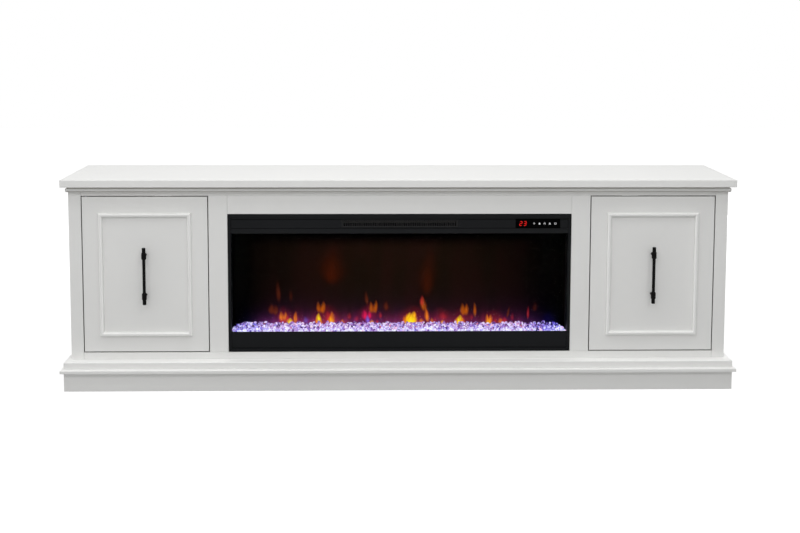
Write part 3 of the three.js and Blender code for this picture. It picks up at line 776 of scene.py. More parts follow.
@dataclass(frozen=True)
class Plated(Finish):
    """Plated steel: bright, with rolling marks drawn out along one direction."""

    colour: Triple
    bright: Triple = (0.75, 0.76, 0.78)
    roughness: float = 0.34
    marks: Triple = (40.0, 1400.0, 1400.0)

    def dress(self, graph: Graph, coords: Socket) -> dict[str, Any]:
        """The marks move the tone, the gloss and the relief together.

        Args:
            graph: the material's node tree.
            coords: the place on the piece, in metres.

        Returns:
            A value or a socket for each input of the shader that it sets.
        """
        lines = graph.noise(coords, self.marks, 3.0, 0.7)
        streaks = graph.span(lines, 0.35, 0.65, 0.0, 0.35)
        return {
            "Base Color": graph.mix(streaks, graph.clouded(self.colour, coords, 0.35), self.bright),
            "Metallic": 1.0,
            "Roughness": graph.span(lines, 0.3, 0.7, self.roughness - 0.06, self.roughness + 0.08),
            "Normal": graph.bump(lines, 0.02 * MM),
        }


@dataclass(frozen=True)
class ClearGlass(Finish):
    """A clear pane, coated against reflections, with a trace of dust on it."""

    tint: Triple
    ior: float

    def dress(self, graph: Graph, coords: Socket) -> dict[str, Any]:
        """Dust is sparse fine noise that dulls the gloss a little.

        Args:
            graph: the material's node tree.
            coords: the place on the piece, in metres.

        Returns:
            A value or a socket for each input of the shader that it sets.
        """
        dust = graph.span(graph.noise(coords, 260.0, 3.0), 0.55, 0.8, 0.0, 0.06)
        return {
            "Base Color": graph.mix(dust, self.tint, (0.5, 0.5, 0.5)),
            "Roughness": dust,
            "IOR": self.ior,
            "Specular IOR Level": 0.3,
            "Transmission Weight": 1.0,
        }


@dataclass(frozen=True)
class SmokedPanel(Finish):
    """Black glossy acrylic, with faint cloudy smears in its gloss."""

    colour: Triple
    roughness: float = 0.12

    def dress(self, graph: Graph, coords: Socket) -> dict[str, Any]:
        """Smears are drawn out noise in the roughness.

        Args:
            graph: the material's node tree.
            coords: the place on the piece, in metres.

        Returns:
            A value or a socket for each input of the shader that it sets.
        """
        smears = graph.noise(coords, (14.0, 30.0, 50.0), 4.0)
        return {
            "Base Color": graph.clouded(self.colour, coords, 0.4),
            "Roughness": graph.span(smears, 0.3, 0.7, self.roughness - 0.05, self.roughness + 0.1),
            "Specular IOR Level": 0.012,
        }


@dataclass(frozen=True)
class FireScreen(Finish):
    """The smoked screen that the light plays on.

    It has glows painted on it: a brown murk, a haze that thickens towards the crystals, a fainter and higher
    veil, and a blue light at either end.
    """

    lit_half: float = 0.36
    dark_half: float = 0.495
    end_half: float = 0.535
    murk_middle: float = -0.03
    murk_half: float = 0.49
    murk_sides: Pair = (0.5, 0.45)
    murk_heights: Pair = (0.476, 0.432)
    haze_base: float = 0.2
    haze_fall: float = 0.0145
    haze_slope: tuple[float, ...] = (-0.45, 0.45, 1.05, 0.42)
    haze_most: float = 0.3
    veil_fall: float = 0.034
    end_fall: float = 0.016
    murk_tones: tuple[Triple, Triple] = ((0.0092, 0.0044, 0.002), (0.0112, 0.0036, 0.0022))
    haze_tones: tuple[Triple, Triple] = ((0.1, 0.0125, 0.08), (0.18, 0.015, 0.055))
    veil_tone: Triple = (0.0075, 0.0022, 0.0125)
    end_tone: Triple = (0.012, 0.01, 0.055)

    def falling(self, graph: Graph, height: Socket, fall: float) -> Socket:
        """One at the foot of the haze, and less by a factor of e for each fall's rise above it."""
        rise = graph.times(graph.math("SUBTRACT", height, self.haze_base), -1 / fall)
        return graph.math("EXPONENT", graph.math("MINIMUM", rise, self.haze_most))

    def dress(self, graph: Graph, coords: Socket) -> dict[str, Any]:
        """Each light is a tone times how high and how far along it reaches, broken up by drawn out noise.

        Args:
            graph: the material's node tree.
            coords: the place on the piece, in metres.

        Returns:
            A value or a socket for each input of the shader that it sets.
        """
        place = graph.node("ShaderNodeSeparateXYZ", {0: coords}).outputs
        along, height = graph.math("ABSOLUTE", place["X"]), place["Z"]
        across = graph.span(along, self.dark_half, self.lit_half)
        ends = graph.math("SUBTRACT", graph.span(along, self.end_half, self.lit_half), across)
        drapes = graph.noise(coords, (9.0, 1.0, 2.2), 3.0)
        wisps = graph.noise(coords, (60.0, 1.0, 9.0), 4.0)
        patches = graph.noise(coords, (11.0, 1.0, 3.0))
        offset = graph.math("DIVIDE", graph.math("SUBTRACT", place["X"], self.murk_middle), self.murk_half)
        murk = graph.times(
            graph.math("MAXIMUM", graph.math("SUBTRACT", 1.0, graph.times(offset, offset)), 0.0),
            graph.span(along, *self.murk_sides),
            graph.span(height, *self.murk_heights),
            graph.span(drapes, 0.3, 0.7, 0.7, 1.1),
        )
        haze = graph.times(
            self.falling(graph, height, self.haze_fall),
            across,
            graph.span(place["X"], *self.haze_slope),
            graph.span(wisps, 0.3, 0.72, 0.6, 1.25),
        )
        lights = (
            (graph.mix(graph.span(drapes, 0.42, 0.6), *self.murk_tones), murk),
            (graph.mix(graph.span(patches, 0.4, 0.6), *self.haze_tones), haze),
            (self.veil_tone, graph.times(self.falling(graph, height, self.veil_fall), across)),
            (self.end_tone, graph.times(self.falling(graph, height, self.end_fall), ends)),
        )
        return {
            "Base Color": graph.mix(wisps, (0.0004, 0.0004, 0.0004), (0.0008, 0.0006, 0.0006)),
            "Roughness": graph.span(wisps, 0.3, 0.7, 0.35, 0.5),
            "Specular IOR Level": 0.0,
            "Emission Color": reduce(graph.added, [graph.scaled(tone, share) for tone, share in lights]),
            "Emission Strength": 1.0,
        }


@dataclass(frozen=True)
class Crystal(Finish):
    """Cut crystals lit from below: each facet glows in its own colour, with that light and its shade painted
    in, under a clear polish.
    """

    strength: float = 0.84
    body: Triple = (0.3, 0.27, 0.42)

    def dress(self, graph: Graph, coords: Socket) -> dict[str, Any]:
        """The facet's colour is its light and its tint, and fine veins dull the polish here and there.

        Args:
            graph: the material's node tree.
            coords: the place on the piece, in metres.

        Returns:
            A value or a socket for each input of the shader that it sets.
        """
        facet = graph.attribute("glow")["Color"]
        return {
            "Base Color": graph.mix(1.0, facet, self.body, "MULTIPLY"),
            "Roughness": graph.span(graph.noise(coords, 480.0, 3.0), 0.5, 0.75, 0.04, 0.22),
            "Emission Color": facet,
            "Emission Strength": self.strength,
            "IOR": 1.5,
        }


@dataclass(frozen=True)
class Light(Finish):
    """Light without a body: its colour and its density come from the piece's own corners."""

    strength: float

    def dress(self, graph: Graph, coords: Socket) -> dict[str, Any]:
        """The corner colour glows, and its alpha thins the sheet, broken up a little by noise.

        Args:
            graph: the material's node tree.
            coords: the place on the piece, in metres.

        Returns:
            A value or a socket for each input of the shader that it sets.
        """
        glow = graph.attribute("glow")
        flicker = graph.span(graph.noise(coords, (330.0, 1.0, 26.0)), 0.3, 0.6, 0.5, 1.0)
        return {
            "Base Color": (0.0, 0.0, 0.0, 1.0),
            "Roughness": 1.0,
            "Specular IOR Level": 0.0,
            "Emission Color": glow["Color"],
            "Emission Strength": self.strength,
            "Alpha": graph.times(glow["Alpha"], flicker),
        }


@dataclass(frozen=True)
class Marking(Finish):
    """A lit mark behind the display window, a little uneven as a small lamp behind it is."""

    colour: Triple
    strength: float

    def dress(self, graph: Graph, coords: Socket) -> dict[str, Any]:
        """The mark's light is its colour times cloudy noise.

        Args:
            graph: the material's node tree.
            coords: the place on the piece, in metres.

        Returns:
            A value or a socket for each input of the shader that it sets.
        """
        even = graph.span(graph.noise(coords, 700.0), 0.2, 0.8, 0.75, 1.0)
        return {
            "Base Color": (0.0, 0.0, 0.0, 1.0),
            "Specular IOR Level": 0.0,
            "Emission Color": graph.scaled(self.colour, even),
            "Emission Strength": self.strength,
        }


@dataclass(frozen=True)
class SolderMask(Finish):
    """A circuit board's green coat, with paler copper runs under it."""

    coat: Triple = (0.008, 0.07, 0.028)
    copper: Triple = (0.03, 0.2, 0.07)

    def dress(self, graph: Graph, coords: Socket) -> dict[str, Any]:
        """Copper runs are the bands of a bent wave where broken noise lets them through.

        Args:
            graph: the material's node tree.
            coords: the place on the piece, in metres.

        Returns:
            A value or a socket for each input of the shader that it sets.
        """
        wave = graph.node("ShaderNodeTexWave", {"Vector": coords, "Scale": 90.0, "Distortion": 2.0})
        runs = graph.span(wave.outputs[1], 0.55, 0.62)
        allowed = graph.span(graph.noise(coords, 120.0, 1.0), 0.48, 0.52)
        tone = graph.mix(graph.times(runs, allowed), self.coat, self.copper)
        return {"Base Color": tone, "Roughness": graph.span(runs, 0.0, 1.0, 0.35, 0.5)}


@dataclass(frozen=True)
class Backdrop(Finish):
    """The studio floor: pale to the lamps, and white to the camera where no shadow falls."""

    glow: float = 0.78
    near: float = 1.1
    far: float = 2.6

    def dress(self, graph: Graph, coords: Socket) -> dict[str, Any]:
        """Its glow rises with the distance from the stand, and only the camera sees it.

        Args:
            graph: the material's node tree.
            coords: the place on the piece, in metres.

        Returns:
            A value or a socket for each input of the shader that it sets.
        """
        away = graph.node("ShaderNodeVectorMath", {0: coords}, operation="LENGTH").outputs["Value"]
        glow = graph.span(away, self.near, self.far, self.glow, 1.0)
        return {
            "Base Color": (0.45, 0.45, 0.45, 1.0),
            "Roughness": 0.9,
            "Specular IOR Level": 0.0,
            "Emission Color": (1.0, 1.0, 1.0, 1.0),
            "Emission Strength": graph.times(graph.seen(), glow),
        }


WHITE = Paint("satin_white_paint", "white_paint")
# The frame paint has painted shade on the board edges that stand in a gap.
FRONT = Paint("face_frame_paint", "white_paint", gap_shade=(0.42, 0.415, 0.4))
# Painted highlight: the bead paint is lighter on rounded edges and upward faces.
BEAD = Paint("bead_paint", "white_paint", wear=0.0, painted_light_tone=(0.98, 0.98, 0.965))
# Painted shade: the cornice paint is darker in its grooves, on its upward faces and on its rounded edges.
GROOVED = Paint("cornice_paint", "white_paint", wear=0.0, painted_light_tone=(0.57, 0.55, 0.51))
INSIDE = Paint(
    "inside_paint",
    "inside_paint",
    (0.76, 0.76, 0.735),
    (0.6, 0.58, 0.54),
    roughness=0.6,
    mottle=0.08,
    wear=0.3,
    peel_per_metre=300.0,
    peel_depth=0.08 * MM,
)
BOARD = Hardboard("hardboard", "raw_board", (0.42, 0.29, 0.17), (0.23, 0.14, 0.075))
POWDER = Coated("powder_coat", "black_metal", (0.0066, 0.0072, 0.0082), (0.014, 0.014, 0.014), specular=0.08)
HARDWARE = Coated(
    "pull_black",
    "black_hardware",
    (0.0012, 0.0012, 0.0012),
    (0.006, 0.0055, 0.005),
    roughness=0.4,
    grain_per_metre=2600.0,
    grain_depth=0.02 * MM,
    wear=0.3,
    specular=0.06,
)
PLASTIC = Coated(
    "moulded_plastic",
    "black_plastic",
    (0.0075, 0.0075, 0.008),
    (0.014, 0.014, 0.014),
    roughness=0.45,
    grain_per_metre=3200.0,
    specular=0.12,
)
STEEL = Plated("plated_steel", "steel", (0.52, 0.53, 0.54))
# The heater's case and element are plated steel in a dark tone.
DARK_STEEL = Plated("dark_plated_steel", "steel", (0.05, 0.048, 0.046), (0.11, 0.1, 0.095), 0.5)
WINDOW = SmokedPanel("display_panel", "dark_glass", (0.0004, 0.0004, 0.0005))
PANE = ClearGlass("fire_pane", "dark_glass", (0.97, 0.97, 0.98), 1.035)
SCREEN = FireScreen("flame_screen_face", "smoked_screen")
CRYSTAL = Crystal("lit_crystal", "crystal")
FLAME = Light("flame_light", "smoked_screen", 1.22)
DIGIT = Marking("digit_red", "dark_glass", (0.9, 0.02, 0.015), 1.0)
ICON = Marking("icon_white", "dark_glass", (0.85, 0.86, 0.88), 0.85)
CIRCUIT = SolderMask("solder_mask", "green_board")
FLOOR = Backdrop("studio_floor", "")

BY_SLOT: dict[str, Finish] = {
    finish.slot: finish
    for finish in (WHITE, INSIDE, BOARD, POWDER, HARDWARE, STEEL, PANE, CRYSTAL, SCREEN, PLASTIC, CIRCUIT)
}

HOT = ("heater_case", "heating_element")


# Pieces


def add_piece(
    mesh: bpy.types.Mesh, finish: Finish, body: str, replaced: tuple[str, ...] = ()
) -> bpy.types.Object:
    """Puts a mesh into the scene as a piece of the stand.

    Args:
        mesh: the mesh, already in its place.
        finish: what it is finished with.
        body: the body that it rides on.
        replaced: the model's nodes that it stands for.

    Returns:
        The new object.
    """
    made = bpy.data.objects.new(mesh.name, mesh)
    bpy.context.collection.objects.link(made)
    mesh.materials.append(finish.material())
    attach(made, body)
    if replaced:
        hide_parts(*replaced)
    log.info("%s: %d faces in %s", made.name, len(mesh.polygons), finish.name)
    return made


def eased_board(node: str, easing: float, finish: Finish, name: str = "") -> None:
    """A board with softly rounded edges, the size of the model's node."""
    mesh = welded_mesh(name or f"{node}_board", rounded_box(*box(node), easing))
    add_piece(mesh, finish, CABINET, (node,))


def eased_copy(node: str, easing: float, finish: Finish, body: str) -> None:
    """The model's own node with its sharp edges eased.

    The copy's doubles are merged and its flat faces joined first, then a bevel rounds every edge sharper than
    forty degrees, and weighted normals keep the flats flat.

    Args:
        node: the model's node.
        easing: the width of the bevel.
        finish: what it is finished with.
        body: the body that it rides on.
    """
    shape = bmesh.new()
    shape.from_mesh(frame["nodes"][node].data)
    bmesh.ops.remove_doubles(shape, verts=shape.verts, dist=1e-5)
    bmesh.ops.dissolve_limit(shape, angle_limit=math.radians(0.5), verts=shape.verts, edges=shape.edges)
    mesh = bpy.data.meshes.new(f"{node}_eased")
    shape.to_mesh(mesh)
    shape.free()
    mesh.materials.clear()
    mesh.shade_smooth()
    made = add_piece(mesh, finish, body, (node,))
    bevel = made.modifiers.new("easing", "BEVEL")
    bevel.width = easing
    bevel.segments = 2
    bevel.limit_method = "ANGLE"
    bevel.angle_limit = math.radians(40)
    bevel.use_clamp_overlap = True
    made.modifiers.new("flats", "WEIGHTED_NORMAL").keep_sharp = True


@dataclass
class Strip:
    """A strip round the front and both sides of the stand, mitred at the front corners.

    Its section is a rectangle with rounded outer edges, carried along the inner line of the strip, which
    runs from the back on the left, round the front, to the back on the right. A quirk is the depth of two
    fine grooves along it, one close over its lower edge and one at its top. A cored strip has a board
    inside it.
    """

    node: str
    low_nose: float
    high_nose: float
    finish: Finish
    cored: bool = False
    quirk: float = 0.0
    groove_low: float = 1.2 * MM
    groove_height: float = 1.6 * MM
    groove_head: float = 6.0 * MM
    core_easing: float = 0.2 * MM

    def build(self) -> None:
        """Makes the strip, and the board inside it."""
        low, high = box(self.node)
        inner = box("top_slab" if self.node == "base_trim" else "outer_stile_left")[0]
        half, front = abs(inner[0]) + SEAM, inner[1] - SEAM
        corners = ((-half, high[1]), (-half, front), (half, front), (half, high[1]))
        path = np.array([(x, y, low[2]) for x, y in corners])
        side, ahead = (self.section(reach, high[2] - low[2]) for reach in (high[0] - half, front - low[1]))
        patches = self.runs(side, ahead, path, high[0] - half - self.quirk)
        if self.cored:
            patches += rounded_box((-half, front, low[2]), (half, high[1], high[2]), self.core_easing)
        add_piece(welded_mesh(f"{self.node}_strip", patches), self.finish, CABINET, (self.node,))

    def section(self, reach: float, height: float) -> Outline:
        """The section that stands out so far, with an edge mark of one inside its grooves, where the
        cornice's paint puts painted shade.

        Args:
            reach: how far it stands out.
            height: how high it is.

        Returns:
            The section, with a divided back.
        """
        start, end = [(0.0, 0.0, 0.0)], [(0.0, height, 0.0)]
        if self.quirk:
            inner, head = reach - self.quirk, height - self.groove_head
            foot, lintel = self.groove_low, self.groove_low + self.groove_height
            start += [(inner, 0.0, 0.0), (reach, 0.0, self.low_nose), (reach, foot, 0.0), (inner, foot, 0.0)]
            start += [(inner, lintel, 0.0), (reach, lintel, self.high_nose), (reach, head, self.high_nose)]
            start += [(inner, head, 0.0), (inner, height, 0.0)]
        else:
            start += [(reach, 0.0, self.low_nose), (reach, height, self.high_nose)]
        line = flat_backed(rounded_outline(start + end))
        grooved = self.quirk * (line.points[:, 0] < line.points[:, 0].max() - self.quirk / 2) > 0
        line.edge = np.maximum(line.edge, grooved)
        return line

    def runs(self, side: Outline, front: Outline, path: Array, neck: float) -> list[Patch]:
        """Carries the section along the path.

        The section's point (a, b) is at the path's corner plus a outwards and b up. At a front corner the
        strip takes the side's a across and the front's a forwards, so the two runs meet on one slanting
        joint. The edge mark is at least the upward part of the normal, so the painted highlight of the bead
        paint, and the painted shade of the cornice's, also fall on upward faces.

        Args:
            side: the section of the two side runs.
            front: the section of the front run, with as many points.
            path: the four corners of the inner line, from back left round to back right.
            neck: how far the side's section stands out at the least, past which its caps have a line of
                points.

        Returns:
            Three runs and two caps.
        """
        reach, ahead, rise = side.points[:, :1], front.points[:, :1] * FORWARD, side.points[:, 1:] * UP
        lines = [
            path[0] + reach * LEFT + rise,
            path[1] + reach * LEFT + ahead + rise,
            path[2] - reach * LEFT + ahead + rise,
            path[3] - reach * LEFT + rise,
        ]
        patches = []
        for run, (section, out) in enumerate(((side, LEFT), (front, FORWARD), (side, -LEFT))):
            normals = section.normals[:, :1] * out + section.normals[:, 1:] * UP
            # The mark carries the painted highlight or painted shade of the strip's paint onto upward faces
            # too.
            mark = np.maximum(section.edge, np.clip(section.normals[:, 1], 0, 1))
            patches.append(ribbon(lines[run], lines[run + 1], normals, mark))
        for end, out in ((0, LEFT), (3, -LEFT)):
            inner = path[end] + np.minimum(reach, neck) * out + rise
            patches.append(flat_patch([lines[end], inner, path[end] + rise], -FORWARD))
        return patches


@dataclass
class Cabinet:
    """The carcass, its top and its shelves."""

    slab_easing: float = 2.2 * MM
    board_easing: float = 1.0 * MM
    cornice_easing: float = 0.5 * MM
    quirk_depth: float = 4.0 * MM
    ledge_nose: float = 4.5 * MM
    pin_radius: float = 3.5 * MM
    pin_reach: float = 9.0 * MM
    pin_collar: float = 2.0 * MM
    pin_drop: float = 3.8 * MM
    pin_inset: float = 45.0 * MM
    collar_easing: float = 0.4 * MM
    tip_easing: float = 0.8 * MM

    def build(self) -> None:
        """Makes every board of the cabinet."""
        eased_board("top_slab", self.slab_easing, WHITE)
        # The ledge's bead paint puts a painted highlight on its rounded edges and its top.
        Strip("bottom_board", self.board_easing, self.ledge_nose, BEAD, cored=True).build()
        # The cornice's paint puts painted shade in its grooves and on its upward faces.
        Strip("cornice", self.cornice_easing, self.cornice_easing, GROOVED, quirk=self.quirk_depth).build()
        for side in Side:
            shelf = f"shelf_{side.value}"
            eased_board(shelf, self.board_easing, INSIDE)
            self.build_upright(f"side_panel_{side.value}", shelf, WHITE)
            self.build_upright(f"partition_{side.value}", shelf, INSIDE)

    def build_upright(self, node: str, shelf: str, finish: Finish) -> None:
        """An upright board without the pins, and the pins that hold the shelf beside it, turned in steel.

        Args:
            node: the model's board.
            shelf: the shelf beside it.
            finish: what the board is finished with.
        """
        low, high = box(node)
        shelf_low, shelf_high = box(shelf)
        towards = 1.0 if abs(shelf_low[0] - high[0]) < abs(low[0] - shelf_high[0]) else -1.0
        near = high if towards > 0 else low
        near[0] -= towards * self.pin_reach
        board = welded_mesh(f"{node}_board", rounded_box(low, high, self.board_easing))
        add_piece(board, finish, CABINET, (node,))
        collar = self.pin_radius + self.pin_collar
        corners = [(0.0, 0.0, 0.0), (collar, 0.0, 0.0), (collar, self.pin_collar, self.collar_easing)]
        corners += [(self.pin_radius, self.pin_collar, 0.0)]
        corners += [(self.pin_radius, self.pin_reach, self.tip_easing)]
        section = rounded_outline([*corners, (0.0, self.pin_reach, 0.0)], closed=False)
        patches = []
        for y in (shelf_low[1] + self.pin_inset, shelf_high[1] + SEAM - self.pin_inset):
            patches += turned(section, (near[0], y, shelf_low[2] - self.pin_drop), (towards, 0.0, 0.0), 24)
        add_piece(welded_mesh(f"{node}_pins", patches), STEEL, CABINET)


@dataclass
class FaceFrame:
    """The stiles, the rails and the header board, and the base under them."""

    arris: float = 0.6 * MM
    trim_nose: float = 4.0 * MM
    trim_foot: float = 1.0 * MM
    plinth_easing: float = 1.0 * MM
    boards: tuple[str, ...] = (
        "outer_stile_left",
        "outer_stile_right",
        "centre_stile_left",
        "centre_stile_right",
        "header_board",
    )
    rails: tuple[str, ...] = ("top_rail", "bottom_rail")
    plinths: tuple[str, ...] = ("plinth_front", "plinth_left", "plinth_right", "plinth_back")

    def build(self) -> None:
        """Makes the frame's boards and the base."""
        for node in self.boards:
            # The frame paint puts painted shade on the board edges that stand in a gap.
            eased_board(node, self.arris, FRONT)
        for node in self.rails:
            eased_copy(node, self.arris, FRONT, CABINET)
        for node in self.plinths:
            eased_board(node, self.plinth_easing, WHITE)
        # The trim's bead paint puts a painted highlight on its rounded edges and its top.
        Strip("base_trim", self.trim_foot, self.trim_nose, BEAD).build()


@dataclass
class Door:
    """A door with its applied moulding and its bar pull."""

    side: Side
    easing: float = 0.5 * MM
    moulding_width: float = 13.0 * MM
    moulding_round: float = 5.6 * MM
    moulding_bed: float = 1.2 * MM
    bed_easing: float = 0.3 * MM
    bar_radius: float = 4.85 * MM
    tip_radius: float = 5.7 * MM
    tip_easing: float = 1.0 * MM
    collar_radius: float = 7.6 * MM
    collar_length: float = 24.0 * MM
    collar_chamfer: float = 3.5 * MM
    collar_easing: float = 0.8 * MM
    shoulder_easing: float = 0.4 * MM
    post_radius: float = 5.0 * MM
    post_easing: float = 3.0 * MM
    foot_radius: float = 4.4 * MM
    post_spacing: float = 128.0 * MM

    @property
    def name(self) -> str:
        """The door's name, which starts the names of its pieces."""
        return f"door_{self.side.value}"

    def build(self) -> None:
        """Makes the panel, the moulding and the pull."""
        # The door's frame paint puts painted shade on its edges that stand in a gap.
        eased_copy(self.name, self.easing, FRONT, self.side.body)
        self.build_moulding()
        self.build_pull()

    def build_moulding(self) -> None:
        """The moulding: a bullnose bead over a thin bed, carried round four mitred corners, with a painted
        highlight on its rounded edges.
        """
        node = f"{self.name}_moulding"
        low, high = box(node)
        width, bed, proud = self.moulding_width, self.moulding_bed, high[1] - low[1]
        near, far = -bed / 2, bed / 2 - width
        corners = [(-width, 0.0, 0.0), (0.0, 0.0, 0.0), (0.0, bed, self.bed_easing), (near, bed, 0.0)]
        corners += [(near, proud, self.moulding_round), (far, proud, self.moulding_round)]
        outline = rounded_outline([*corners, (far, bed, 0.0), (-width, bed, self.bed_easing)], steps=8)
        mesh = welded_mesh(f"{node}_bead", framed(outline, low, high))
        add_piece(mesh, BEAD, self.side.body, (node,))

    def build_pull(self) -> None:
        """The pull: a turned bar with barrel collars, on two posts that thin towards the door."""
        node = f"{self.name}_pull"
        low, high = box(node)
        half = (high[2] - low[2]) / 2
        centre = np.array([(low[0] + high[0]) / 2, low[1] + self.collar_radius, (low[2] + high[2]) / 2])
        middle, reach = self.post_spacing / 2, self.collar_length / 2
        upper = [
            (self.bar_radius, middle - reach, self.shoulder_easing),
            (self.collar_radius, middle - reach + self.collar_chamfer, self.collar_easing),
            (self.collar_radius, middle + reach - self.collar_chamfer, self.collar_easing),
            (self.tip_radius, middle + reach, self.shoulder_easing),
            (self.tip_radius, half, self.tip_easing),
            (0.0, half, 0.0),
        ]
        lower = [(radius, -height, easing) for radius, height, easing in reversed(upper)]
        patches = turned(rounded_outline(lower + upper, closed=False), centre, UP)
        length = high[1] - centre[1]
        post = [
            (0.0, 0.0, 0.0),
            (self.foot_radius, 0.0, 0.0),
            (self.foot_radius, length / 4, self.post_easing),
            (self.post_radius, length / 2, self.post_easing),
            (self.post_radius, length, 0.0),
            (0.0, length, 0.0),
        ]
        outline = rounded_outline(post, closed=False)
        for end in (-middle, middle):
            patches += turned(outline, (centre[0], high[1], centre[2] + end), FORWARD, 28)
        add_piece(welded_mesh(f"{node}_turned", patches), HARDWARE, self.side.body, (node,))


class Hue(Enum):
    """The colours of a flame, at its edge and at its heart."""

    GLOW = ((0.014, 0.0035, 0.0012), (0.042, 0.0055, 0.0012))
    NIGHT = ((0.001, 0.001, 0.012), (0.002, 0.001, 0.035))
    DIM = ((0.035, 0.006, 0.003), (0.115, 0.018, 0.006))
    EMBER = ((0.12, 0.014, 0.002), (0.5, 0.1, 0.003))
    ORANGE = ((0.3, 0.02, 0.005), (0.8, 0.2, 0.015))
    AMBER = ((0.6, 0.08, 0.004), (0.9, 0.42, 0.012))
    YELLOW = ((0.75, 0.13, 0.003), (0.97, 0.84, 0.012))
    RED = ((0.2, 0.006, 0.02), (0.62, 0.03, 0.03))
    ROSE = ((0.28, 0.007, 0.07), (0.7, 0.013, 0.075))
    VIOLET = ((0.1, 0.03, 0.3), (0.22, 0.14, 0.75))


@dataclass(frozen=True)
class Tongue:
    """One tongue of flame: where it stands, how bright it is, and how it leans. Lengths in mm."""

    x: float
    low: float
    high: float
    width: float
    hue: Hue
    glow: float
    lean: float = 0.0
    bow: float = 0.0


# Every tongue, from the back to the front: its number sets its depth and its sway
TONGUES = tuple(
    Tongue(*row)
    for row in (
        (-216, 300, 462, 66, Hue.GLOW, 0.5), (-218, 309, 415, 36, Hue.GLOW, 0.7),
        (92, 262, 458, 42, Hue.GLOW, 0.42, 7, -2), (91, 268, 376, 24, Hue.GLOW, 0.4, 1),
        (-372, 182, 251, 44, Hue.RED, 0.1), (-231, 182, 257, 50, Hue.RED, 0.12),
        (-100, 182, 260, 50, Hue.ROSE, 0.13), (45, 175, 253, 81, Hue.RED, 0.12),
        (135, 181, 246, 56, Hue.RED, 0.1), (205, 174, 246, 50, Hue.RED, 0.1),
        (305, 180, 236, 63, Hue.RED, 0.1), (483, 183, 229, 31, Hue.NIGHT, 0.6),
        (-412, 215, 258, 14, Hue.DIM, 1), (-398, 212, 254, 13, Hue.DIM, 1),
        (-405, 215, 248, 13, Hue.DIM, 0.3), (-389, 251, 336, 11, Hue.DIM, 0.4, -4),
        (-349, 254, 310, 9, Hue.DIM, 0.18), (-380, 192, 231, 12, Hue.ORANGE, 0.98, -1, 1),
        (-368, 192, 230, 11, Hue.ORANGE, 0.81, 1, -1), (-361, 192, 218, 11, Hue.RED, 0.7),
        (-375, 186, 209, 19, Hue.RED, 0.5), (-352, 182, 209, 14, Hue.YELLOW, 1.1),
        (-335, 186, 231, 9, Hue.ORANGE, 1.1, 1), (-261, 221, 264, 9, Hue.EMBER, 0.85, -1, 1),
        (-245, 218, 265, 11, Hue.EMBER, 1, 1, -1), (-253, 218, 254, 11, Hue.EMBER, 0.28),
        (-260, 182, 225, 11, Hue.YELLOW, 1.6), (-265, 182, 208, 11, Hue.ORANGE, 1),
        (-254, 182, 205, 12, Hue.ORANGE, 0.78), (-229, 189, 231, 14, Hue.RED, 0.85, -1, 1),
        (-217, 185, 231, 13, Hue.ORANGE, 1.3, 0, -1), (-220, 185, 215, 14, Hue.AMBER, 1),
        (-183, 185, 205, 10, Hue.ORANGE, 0.65), (-161, 198, 228, 10, Hue.RED, 0.25),
        (-138, 192, 218, 13, Hue.RED, 0.2), (-111, 198, 236, 13, Hue.ROSE, 1, -1, 1),
        (-96, 201, 232, 11, Hue.ROSE, 0.75, 1), (-102, 185, 219, 9, Hue.VIOLET, 1),
        (-105, 244, 299, 9, Hue.DIM, 0.75, -6), (-91, 219, 263, 11, Hue.EMBER, 0.75, -1, 1),
        (-76, 218, 268, 10, Hue.EMBER, 0.95, 1, -1), (-84, 218, 254, 10, Hue.EMBER, 0.24),
        (-61, 201, 231, 8, Hue.RED, 0.3), (-42, 226, 266, 14, Hue.DIM, 0.65),
        (-89, 182, 201, 12, Hue.AMBER, 1), (-71, 185, 204, 9, Hue.RED, 0.4),
        (16, 178, 217, 7, Hue.ORANGE, 1), (24, 178, 224, 7, Hue.ORANGE, 1.2, 1),
        (33, 175, 227, 17, Hue.YELLOW, 1.6, -1, -1), (43, 178, 229, 17, Hue.YELLOW, 1.6, 4, 1),
        (37, 171, 216, 23, Hue.YELLOW, 1.4), (49, 204, 230, 8, Hue.AMBER, 1, 1),
        (59, 178, 198, 9, Hue.RED, 0.6), (72, 184, 207, 13, Hue.ORANGE, 0.91),
        (78, 224, 279, 14, Hue.EMBER, 0.75, -5, 1), (74, 240, 284, 10, Hue.RED, 0.5, -2),
        (90, 188, 243, 10, Hue.ORANGE, 1.2, -8), (106, 184, 209, 9, Hue.ORANGE, 0.65),
        (115, 188, 214, 9, Hue.RED, 0.3), (141, 195, 230, 17, Hue.RED, 0.28, 1, 1),
        (140, 181, 201, 11, Hue.AMBER, 1), (205, 210, 258, 11, Hue.EMBER, 0.9, -1, 1),
        (217, 210, 256, 11, Hue.EMBER, 0.95, 1, -1), (212, 210, 246, 10, Hue.EMBER, 0.24),
        (188, 177, 210, 11, Hue.ORANGE, 1.2, -1), (196, 174, 218, 16, Hue.YELLOW, 1.6),
        (204, 181, 210, 11, Hue.ORANGE, 0.91, 1), (244, 204, 261, 8, Hue.EMBER, 0.62, 0, 1),
        (234, 197, 223, 8, Hue.RED, 0.2), (285, 187, 221, 8, Hue.ORANGE, 1.2, -1),
        (295, 187, 220, 9, Hue.ORANGE, 1.2, 1), (290, 180, 208, 13, Hue.AMBER, 1),
        (310, 184, 205, 9, Hue.RED, 0.5), (328, 184, 208, 13, Hue.ORANGE, 0.55),
        (341, 185, 211, 13, Hue.RED, 0.5, 1), (352, 202, 247, 6, Hue.DIM, 1, 10),
        (366, 193, 226, 9, Hue.RED, 0.15, 1), (417, 197, 249, 6, Hue.RED, 0.3, 1),
        (439, 223, 262, 11, Hue.DIM, 0.28, 1), (-302, 186, 215, 13, Hue.VIOLET, 0.25),
    )
)


